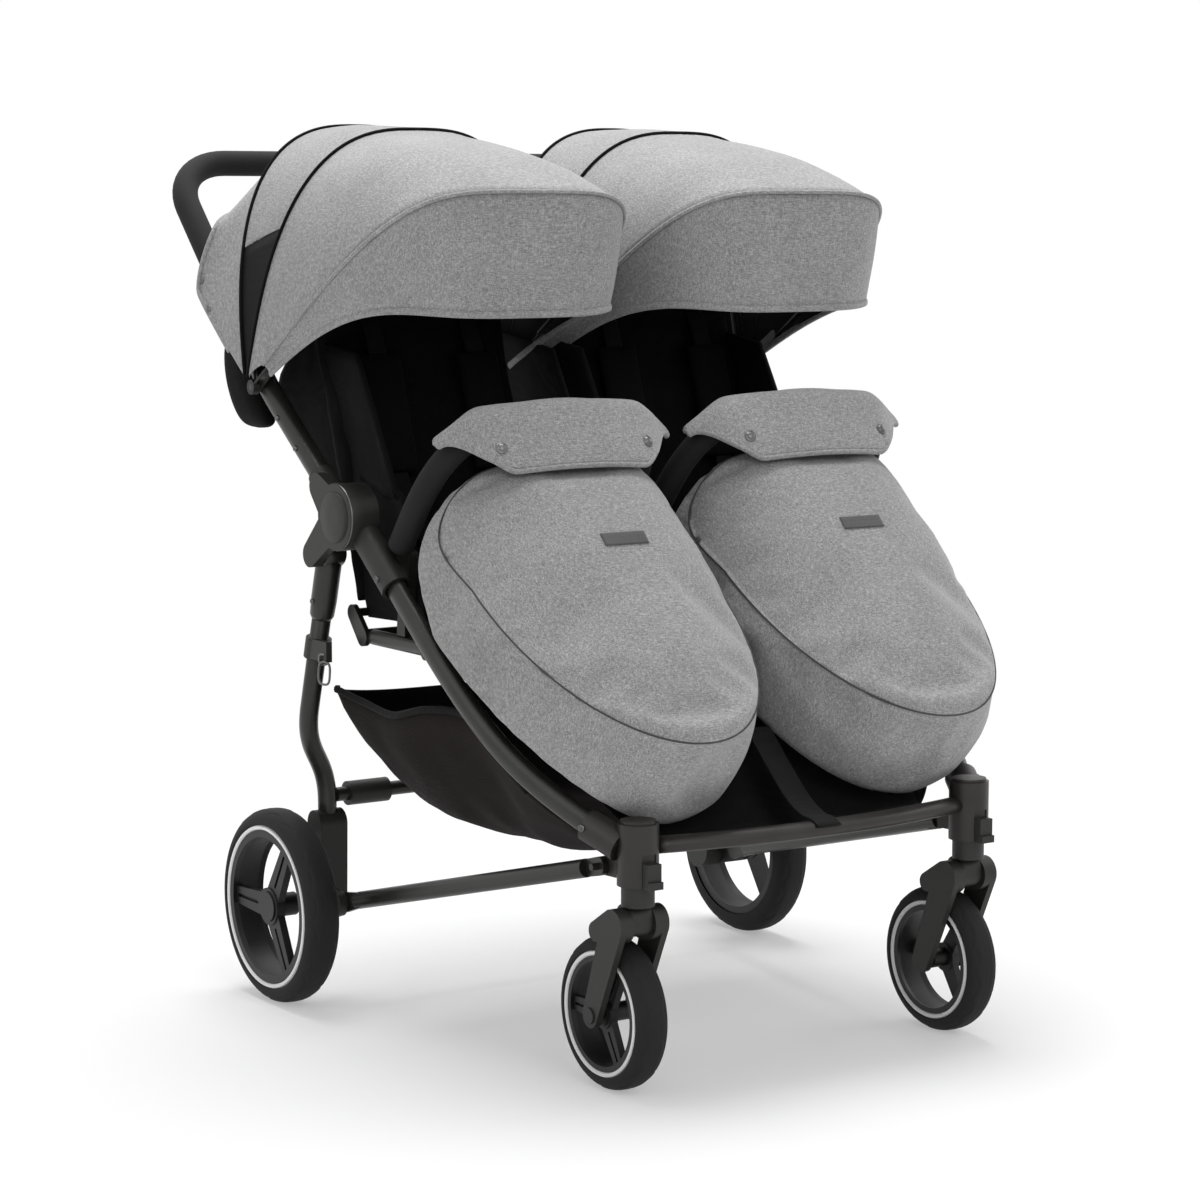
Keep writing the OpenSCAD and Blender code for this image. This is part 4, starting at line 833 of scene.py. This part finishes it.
flap_rim = tube(row(spline(flap_edge, 160)), 0.0036, 0.0030, up=(0, -1, 0), sides=12)
binding = piece("muff_flap_binding_left", *flap_rim, GREY)
SNAP = [(0, 0.0072), (0.0009, 0.0070), (0.0012, 0.0062), (0.0011, 0.0055), (0.0026, 0.0048), (0.0035, 0.0030),
        (0.0038, 0.0001)]
snap_parts = []
for x in (-97, 97):
    at, up = hits(flap, [row([x - SEAT_X, -400, 694])], (0, 1, 0))[0]
    up = -unit(up) if up[1] > 0 else unit(up)
    at = at + up * 0.005
    snap_parts.append(lathe(SNAP, at, up, 24))
snaps = piece("muff_snaps_left", *joined(snap_parts), STEEL)

for side in SIDES:
    settle(own(muff_obj, side), "front_frame", "grey_fabric", f"footmuff_{side}")
    settle(own(seam, side), "front_frame", "black_fabric")
    settle(own(patch, side), "front_frame", "grey_fabric")
    settle(own(flap, side), "front_frame", "grey_fabric")
    settle(own(binding, side), "front_frame", "grey_fabric")
    settle(own(snaps, side), "front_frame", "frame_paint")


# seats, dark and quilted
def cushion(name, w, l, t, columns, rows, mat, place):
    """A crowned pad, ready to be blown out between its sewn channels."""
    m, n = columns, rows
    a = np.linspace(-1, 1, m)
    b = np.linspace(-1, 1, n)
    aa, bb = np.meshgrid(a, b, indexing="ij")
    e = np.maximum(0, (1 - aa ** 4) * (1 - bb ** 4))
    draw = 0.97 + 0.03 * e
    x, y = w / 2 * aa * draw, l / 2 * bb * draw
    top = t * (0.5 + 0.42 * np.sqrt(e))
    low = t * (0.5 - 0.42 * np.sqrt(e))
    p1 = place(np.stack([x, y, top], -1))
    p0 = place(np.stack([x, y, low], -1))
    ids = np.arange(m * n).reshape(m, n)
    faces = [f[::-1] for f in grid_faces(m, n)]
    verts = list(p1.reshape(-1, 3))
    under = ids.copy()
    for i in range(1, m - 1):
        for j in range(1, n - 1):
            under[i, j] = len(verts)
            verts.append(p0[i, j])
    for i in range(m - 1):
        for j in range(n - 1):
            faces.append((under[i, j], under[i, j + 1], under[i + 1, j + 1], under[i + 1, j]))
    return piece(name, row(verts), faces, mat), ids


def place_seat(p):
    return p + (-SEAT_X, -57.6, 470.5)


seat, ids = cushion("seat_left", 250, 226, 38, 41, 37, BLACK, place_seat)
pins = {int(i): 1.0 for j in (12, 24) for i in ids[4:-4, j]}
pins.update({int(i): 1.0 for i in ids[0]})
pins.update({int(i): 1.0 for i in ids[-1]})
simulate(seat, pins, 3.0, 0.007)
subdivide(seat)

BACK_A = math.radians(72)


def on_back(p):
    """Points across, up and out of a backrest as places of the left seat."""
    p = np.array(p, float)
    y, z = p[..., 1], p[..., 2]
    return np.stack([p[..., 0] - SEAT_X, 74 + y * math.cos(BACK_A) - z * math.sin(BACK_A),
                     488 + y * math.sin(BACK_A) + z * math.cos(BACK_A)], -1)


def place_back(p):
    return on_back(p + (0, 425 / 2 + 6, -17))


rest_pad, ids = cushion("rest_left", 280, 425, 34, 45, 61, BLACK, place_back)
pins = {int(i): 1.0 for j in (10, 20, 30, 40, 50) for i in ids[5:-5, j]}
pins.update({int(i): 1.0 for j in (12, 32) for i in ids[j, 4:-4]})
simulate(rest_pad, pins, 3.0, 0.008)
subdivide(rest_pad)

# shoulder pads, straps and wings that move with the back
pad_parts = []
strap_parts = []
for x in (-68, 68):
    def place_pad(p):
        return on_back(p + (x, 232, 22))

    pad_obj = cushion("shoulder_pad", 58, 150, 15, 17, 33, BLACK, place_pad)[0]
    pad_faces = [tuple(p.vertices) for p in pad_obj.data.polygons]
    pad_parts.append((np.array([v.co for v in pad_obj.data.vertices]), pad_faces))
    bpy.data.objects.remove(pad_obj)
    for path in ([(x, 300, 26), (x, 330, 24), (x, 352, 18), (x, 358, 6)],
                 [(x, 160, 28), (x * 0.9, 120, 26), (x * 0.55, 70, 30), (x * 0.2, 48, 36)]):
        strap_parts.append(tube(row(on_back(spline(path, 24))), 0.0125, 0.0011, up=(1, 0, 0), sides=12))
pads = piece("shoulder_pads_left", *joined(pad_parts), BLACK)
straps = piece("shoulder_straps_left", *joined(strap_parts), WEBBING)


def wing(name, x, lean):
    """A dark padded side between the back and the bar socket."""
    v = np.linspace(0, 1, 26)
    w = np.linspace(0, 1, 30)
    behind = 120 * smooth((v - 0.32) / 0.45) * (1 - 0.6 * smooth((v - 0.78) / 0.22))
    rear = np.stack([mix(70.0, 196, v) + behind, mix(482.0, 812, v)], -1)
    front = np.stack([mix(-62.0, 96, v ** 1.4), mix(486.0, 790, v ** 1.2)], -1)
    front[:, 1] = np.where(v < 0.5, mix(486.0, 640, v * 2), front[:, 1])
    pts = rear[:, None] * (1 - w[None, :, None]) + front[:, None] * w[None, :, None]
    bulge = lean * 6 * np.sin(math.pi * w)[None, :] * np.sin(math.pi * v)[:, None]
    full = np.concatenate([(x + bulge)[..., None], pts], -1)
    obj = cloth_grid(name, full, BLACK, 0.003, 0.07, 51, edge_fade(26, 30, 2, 2))
    return thicken(obj, 0.006, 0, 0, 0)


wing_out = wing("seat_wing_left", -SEAT_X - 123, 1)
wing_in = wing("seat_inner_wing_left", -SEAT_X + 150, 1)
clasp_path = row([(-SEAT_X, -20, 512), (-SEAT_X, -8, 530), (-SEAT_X, 8, 552)])
crotch_path = row([(-SEAT_X, -42, 500), (-SEAT_X, -34, 508), (-SEAT_X, -20, 514)])
clasp = tube(clasp_path, [0.02, 0.024, 0.018], 0.008, up=(1, 0, 0), sides=20, dome=0.3)
crotch = tube(crotch_path, 0.0125, 0.0012, up=(1, 0, 0), sides=12)
buckle = piece("buckle_left", *joined([clasp, crotch]), PLASTIC)
for side in SIDES:
    settle(own(seat, side), "front_frame", "black_fabric", f"seat_pad_{side}")
    settle(own(rest_pad, side), f"back_{side}", "black_fabric", f"backrest_{side}")
    settle(own(pads, side), f"back_{side}", "black_fabric")
    settle(own(straps, side), f"back_{side}", "black_fabric")
    settle(own(wing_out, side), f"back_{side}", "black_fabric")
    settle(own(wing_in, side), f"back_{side}", "black_fabric")
    settle(own(buckle, side), "front_frame", "hub_plastic")

# dark pouch behind each handle tube, as height, front, back and half width
POUCH_X = -334
POUCH = [(812, 300, 330, 6), (800, 288, 344, 14), (770, 272, 340, 19), (740, 256, 328, 21),
         (712, 240, 312, 18), (698, 236, 304, 8)]
pouch_rows = []
for z, y0, y1, w in POUCH:
    a = np.linspace(0, 2 * math.pi, 28, endpoint=False)
    wide = POUCH_X + w * spow(np.cos(a), 0.7)
    deep = (y0 + y1) / 2 + (y1 - y0) / 2 * spow(np.sin(a), 0.7)
    pouch_rows.append(np.stack([wide, deep, np.full(28, float(z))], -1))
pouch_verts = np.vstack([row(r) for r in pouch_rows] + [row([[POUCH_X, 315, 814], [POUCH_X, 270, 695]])])
pouch_faces = grid_faces(6, 28, True)
pouch_faces += [(168, (j + 1) % 28, j) for j in range(28)]
pouch_faces += [(169, 140 + j, 140 + (j + 1) % 28) for j in range(28)]
pouch = subdivide(piece("side_pouch_left", pouch_verts, pouch_faces, BLACK), 2)
for side, obj in pair(pouch).items():
    settle(obj, "handle_frame", "black_fabric")

# basket and calf panel
BASKET_Y = np.array([154, 150, 100, 20, -60, -130, -207, -296, -350.0])
BASKET_RIM = np.array([385, 385, 376, 371, 388, 386, 340, 290, 270.0])
BASKET_LOW = np.array([378, 292, 244, 229, 225, 226, 232, 247, 263.0])
BASKET_HALF = np.array([290, 291, 293, 293, 290, 285, 276, 254, 193.0])
kb = np.linspace(0, 8, 81)
ku = np.linspace(-1, 1, 73)


def along_basket(values):
    """The rows' values, eased into one another."""
    pts = np.stack([np.arange(9.0), values, np.zeros(9)], 1)
    curve = spline(pts, 400)
    return np.interp(kb, curve[:, 0], curve[:, 1])[:, None]


by, rim_z, low_z, half = (along_basket(v) for v in (BASKET_Y, BASKET_RIM, BASKET_LOW, BASKET_HALF))
upw = np.abs(ku)[None, :] ** 5 * (1 - smooth(kb - 7))[:, None]
bx = half * spow(ku, 0.72)[None, :]
bz = mix(low_z, rim_z, upw)
sag = 5 * np.sin(kb * 2.2)[:, None] * np.abs(ku)[None, :] ** 3
pts = np.stack([bx + spow(ku, 1)[None, :] * sag, np.broadcast_to(by, bx.shape), bz], -1)
basket = cloth_grid("sling_basket", pts, BASKET, 0.006, 0.09, 31, edge_fade(81, 73, 2, 2))
thicken(basket, 0.0025)
SLING_SPAN = row([0, -300, 300]), row([0, 140, 300])
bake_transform(basket)
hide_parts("basket")
declare(basket)
for name, col in (("left", 0), ("right", -1)):
    edge = row(pts[:65, col])
    band = piece(f"basket_binding_{name}", *tube(edge, 0.0045, 0.0022, up=(0, 0, 1), sides=10), WEBBING)
    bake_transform(band)

CALF_Y = np.array([-386, -350, -263.6, -105.2])
CALF_Z = np.array([277, 274, 343.5, 451.2])
CALF_HALF = np.array([186, 195, 232, 288.0])
kc = np.linspace(0, 3, 37)
cu = np.linspace(-1, 1, 41)
ch = np.interp(kc, range(4), CALF_HALF)[:, None]
cx = ch * cu[None, :]
cy = np.broadcast_to(np.interp(kc, range(4), CALF_Y)[:, None], cx.shape).copy()
cy[0] = cross_y(cx[0]) + 13
cz = np.interp(kc, range(4), CALF_Z)[:, None] - 3 * (1 - cu[None, :] ** 2)
calf = cloth_grid("calf_cloth", np.stack([cx, cy, cz], -1), BLACK, 0.003, 0.1, 41, edge_fade(37, 41, 3, 3))
thicken(calf, 0.0025)
settle(calf, "front_frame", "black_fabric", "calf_panel")
declare(calf)
strap_path = spline([(4, -296, 372), (4, -330, 340), (2, -372, 306), (0, -404, 291), (0, -423, 288.5),
                     (0, -437, 282)], 30)
centre = piece("centre_strap", *tube(row(strap_path), 0.017, 0.0014, up=(1, 0, 0), sides=14), WEBBING)
settle(centre, "front_frame", "black_fabric")


# wheels, with scallops moulded in the tyre shoulders
def tyre(centre, big, width, inner, ring_r, ringed, count):
    a = np.radians(np.linspace(0, 180, 49))
    th = np.linspace(0, 2 * math.pi, 180, endpoint=False)
    r = (inner + (big - inner) * np.sin(a) ** 0.55)[:, None] * np.ones(180)
    x = (width / 2 * spow(np.cos(a), 0.8))[:, None] * np.ones(180)
    for sign in ringed:
        low = (r < ring_r + 0.3) & (np.sign(x) == sign)
        x = np.where(low, sign * np.minimum(np.abs(x), 0.44 * width - 0.3), x)
    xn = np.abs(x) / (width / 2)
    line = 0.80 - 0.24 * np.abs(np.sin(count * th / 2))[None, :]
    cut = 1.2 * np.exp(-((xn - line) / 0.05) ** 2) + 0.5 / (1 + np.exp((line - xn) / 0.015))
    cut += 0.8 * np.exp(-((xn - 0.16) / 0.035) ** 2)
    cut = cut * smooth((r - inner) / (big - inner) * 2.2 - 0.9)
    r = r - cut * (1 - 0.4 * xn)
    x = x - np.sign(x) * cut * 0.5 * xn
    verts = np.stack([centre[0] + x, centre[1] + r * np.sin(th), centre[2] + r * np.cos(th)], -1)
    return row(verts.reshape(-1, 3)), grid_faces(49, 180, True)


rear_at = np.array([-350.0, 199.0, 118.5])
front_at = np.array([-232.0, -352.0, 85.5])
rear_tyre = piece("tyre_rear_left", *tyre(rear_at, 118.5, 45, 93.8, 99.5, (-1,), 20), TYRE)
front_tyre = piece("tyre_front_left", *tyre(front_at, 85.5, 40, 64.3, 70, (-1, 1), 16), TYRE)
for side in SIDES:
    settle(own(rear_tyre, side), f"rear_wheel_{side}", "tyre", f"rear_tyre_{side}")
    settle(own(front_tyre, side), f"front_wheel_{side}", "tyre", f"front_tyre_{side}")

# hub covers, screws and rings
HUB_OUT = row([-343.2, *HUB])
COVER = [(0, 0.0394), (0.0135, 0.0395), (0.0152, 0.0388), (0.0160, 0.0370), (0.0161, 0.0318),
         (0.0150, 0.0312), (0.0150, 0.0304), (0.0164, 0.0296), (0.0184, 0.0290), (0.0192, 0.0272),
         (0.0194, 0.0100), (0.0194, 0.0001)]
hub_cover = piece("hub_cover_left", *lathe(COVER, HUB_OUT, (-1, 0, 0), 72), PLASTIC)
# painted highlight: a bright steel band on the cover's chamfer stands in for the gloss highlight on the black
# plastic edge
edge = lathe([(0.0136, 0.0396), (0.0150, 0.0391), (0.0155, 0.0385)], HUB_OUT, (-1, 0, 0), 72)
hub_highlight_band = piece("hub_edge_left", *edge, STEEL)


def screw(at, axis, r=0.0042):
    """A domed screw head with a hexagon socket."""
    dome = lathe([(-0.0005, r), (0.0012, r), (0.0021, r * 0.86), (0.0025, r * 0.55)], at, axis, 24)
    socket = [(0.0025, r * 0.55), (0.0025, r * 0.46), (0.0009, r * 0.44), (0.0008, r * 0.01)]
    well = lathe(socket, at, axis, 6)
    return joined([dome, well])


frame_screws = []
for s in (40, 96):
    p = side_at(np.array(-HANDLE_X), np.array(LOWER_LEN * 0.35 + s))
    frame_screws.append(screw(row(p + (-13.0, 0, 0)), (-1, 0, 0), 0.0036))
handle_screws = piece("handle_screws_left", *joined(frame_screws), STEEL)
leg_screw = piece("leg_screw_left", *joined([
    screw(row(HUB_LEFT + LEG_D * 104 + (-18, 0, 0)), (-1, 0, 0)),
    screw(row(leg_end - leg_dir * 20 + (-19.2, -4, 2)), (-0.9, -0.4, 0))]), STEEL)
strut_screws = piece("strut_screws_left", *joined([
    screw(row(rear_p + (-16.2, 0, 0)), (-1, 0, 0), 0.006),
    screw(row(rear_p + rear_d * 60 + (-15.3, 0, 0)), (-1, 0, 0), 0.0034)]), STEEL)


def loop(centre, w, h, r, up):
    """A rounded wire loop."""
    a = np.linspace(0, 2 * math.pi, 40, endpoint=False)
    side = unit(np.cross(up, (0.8, 0.5, 0)))
    wide, tall = w / 2 * spow(np.cos(a), 0.6), h / 2 * spow(np.sin(a), 0.6)
    wire = np.array(centre) + np.outer(wide, side) + np.outer(tall, up)
    return tube(row(wire), r, up=(1, 0, 0), sides=8, closed=True)


rings = piece("bracket_rings_left", *joined([
    loop((-345, 92, 416), 15, 27, 0.0014, (0, 0.1, -1)),
    loop((-344, 96, 432), 11, 12, 0.0016, (0.1, 0.1, -1))]), STEEL)
for side in SIDES:
    settle(own(hub_cover, side), "handle_frame", "hub_plastic")
    settle(own(hub_highlight_band, side), "handle_frame", "hub_plastic")
    settle(own(handle_screws, side), "handle_frame", "frame_paint")
    settle(own(leg_screw, side), "front_frame", "frame_paint")
    settle(own(strut_screws, side), "rear_frame", "frame_paint")
    settle(own(rings, side), "rear_frame", "frame_paint")

# stage, light and camera


def seen_rays(tree):
    """One for rays that the viewer sees, also in gloss or through clear things, and nought for light."""
    path = tree.nodes.new("ShaderNodeLightPath")
    seen = calc(tree, "MAXIMUM", path.outputs["Is Camera Ray"], path.outputs["Is Glossy Ray"])
    return calc(tree, "MAXIMUM", seen, path.outputs["Is Transmission Ray"])


floor_mat, tree, b = shader("floor", grey(0.93), 0.9)
seen = seen_rays(tree)
coord = tree.nodes.new("ShaderNodeTexCoord")
far = tree.nodes.new("ShaderNodeVectorMath")
far.operation = "LENGTH"
tree.links.new(coord.outputs["Object"], far.inputs[0])
away = tree.nodes.new("ShaderNodeMapRange")
away.inputs["From Min"].default_value = 0.6
away.inputs["From Max"].default_value = 1.5
away.inputs["To Min"].default_value = 0.35
tree.links.new(far.outputs["Value"], away.inputs["Value"])
glow = tree.nodes.new("ShaderNodeEmission")
glow.inputs["Strength"].default_value = 1.0
blend = tree.nodes.new("ShaderNodeMixShader")
tree.links.new(calc(tree, "MULTIPLY", seen, away.outputs["Result"]), blend.inputs["Fac"])
tree.links.new(b.outputs["BSDF"], blend.inputs[1])
tree.links.new(glow.outputs["Emission"], blend.inputs[2])
tree.links.new(blend.outputs["Shader"], tree.nodes["Material Output"].inputs["Surface"])
floor = piece("floor", [(-30, -30, 0), (30, -30, 0), (30, 30, 0), (-30, 30, 0)], [(0, 1, 2, 3)], floor_mat)

world = bpy.data.worlds.new("studio")
scene.world = world
world.use_nodes = True
wt = world.node_tree
back_node = wt.nodes["Background"]
seen = seen_rays(wt)
AMBIENT = 0.45
wt.links.new(calc(wt, "ADD", AMBIENT, calc(wt, "MULTIPLY", seen, 1 - AMBIENT)), back_node.inputs["Strength"])
back_node.inputs["Color"].default_value = (1, 1, 1, 1)


def lamp(name, at, aim, size, power):
    data = bpy.data.lights.new(name, "AREA")
    data.shape = "DISK"
    data.size = size
    data.energy = power
    obj = bpy.data.objects.new(name, data)
    obj.location = at
    obj.rotation_euler = (Vector(aim) - Vector(at)).to_track_quat("-Z", "Y").to_euler()
    scene.collection.objects.link(obj)


lamp("key", (0.2, 0.7, 3.4), (0, 0, 0.5), 2.6, 110)
lamp("fill", (-3.2, -0.6, 1.9), (0, 0, 0.5), 2.2, 10)
lamp("front", (-0.6, -3.4, 2.4), (0, 0, 0.5), 2.0, 21)
lamp("side", (2.8, -0.3, 1.8), (0, 0, 0.5), 1.8, 12)

cam_data = bpy.data.cameras.new("camera")
cam_data.lens = 96.47
cam_data.sensor_width = 36
cam = bpy.data.objects.new("camera", cam_data)
cam.location = (-2.15792, -3.24662, 0.96717)
aim = Vector((-0.01517, -0.03304, 0.49009))
cam.rotation_euler = (aim - cam.location).to_track_quat("-Z", "Y").to_euler()
scene.collection.objects.link(cam)
scene.camera = cam
scene.view_settings.view_transform = "Standard"
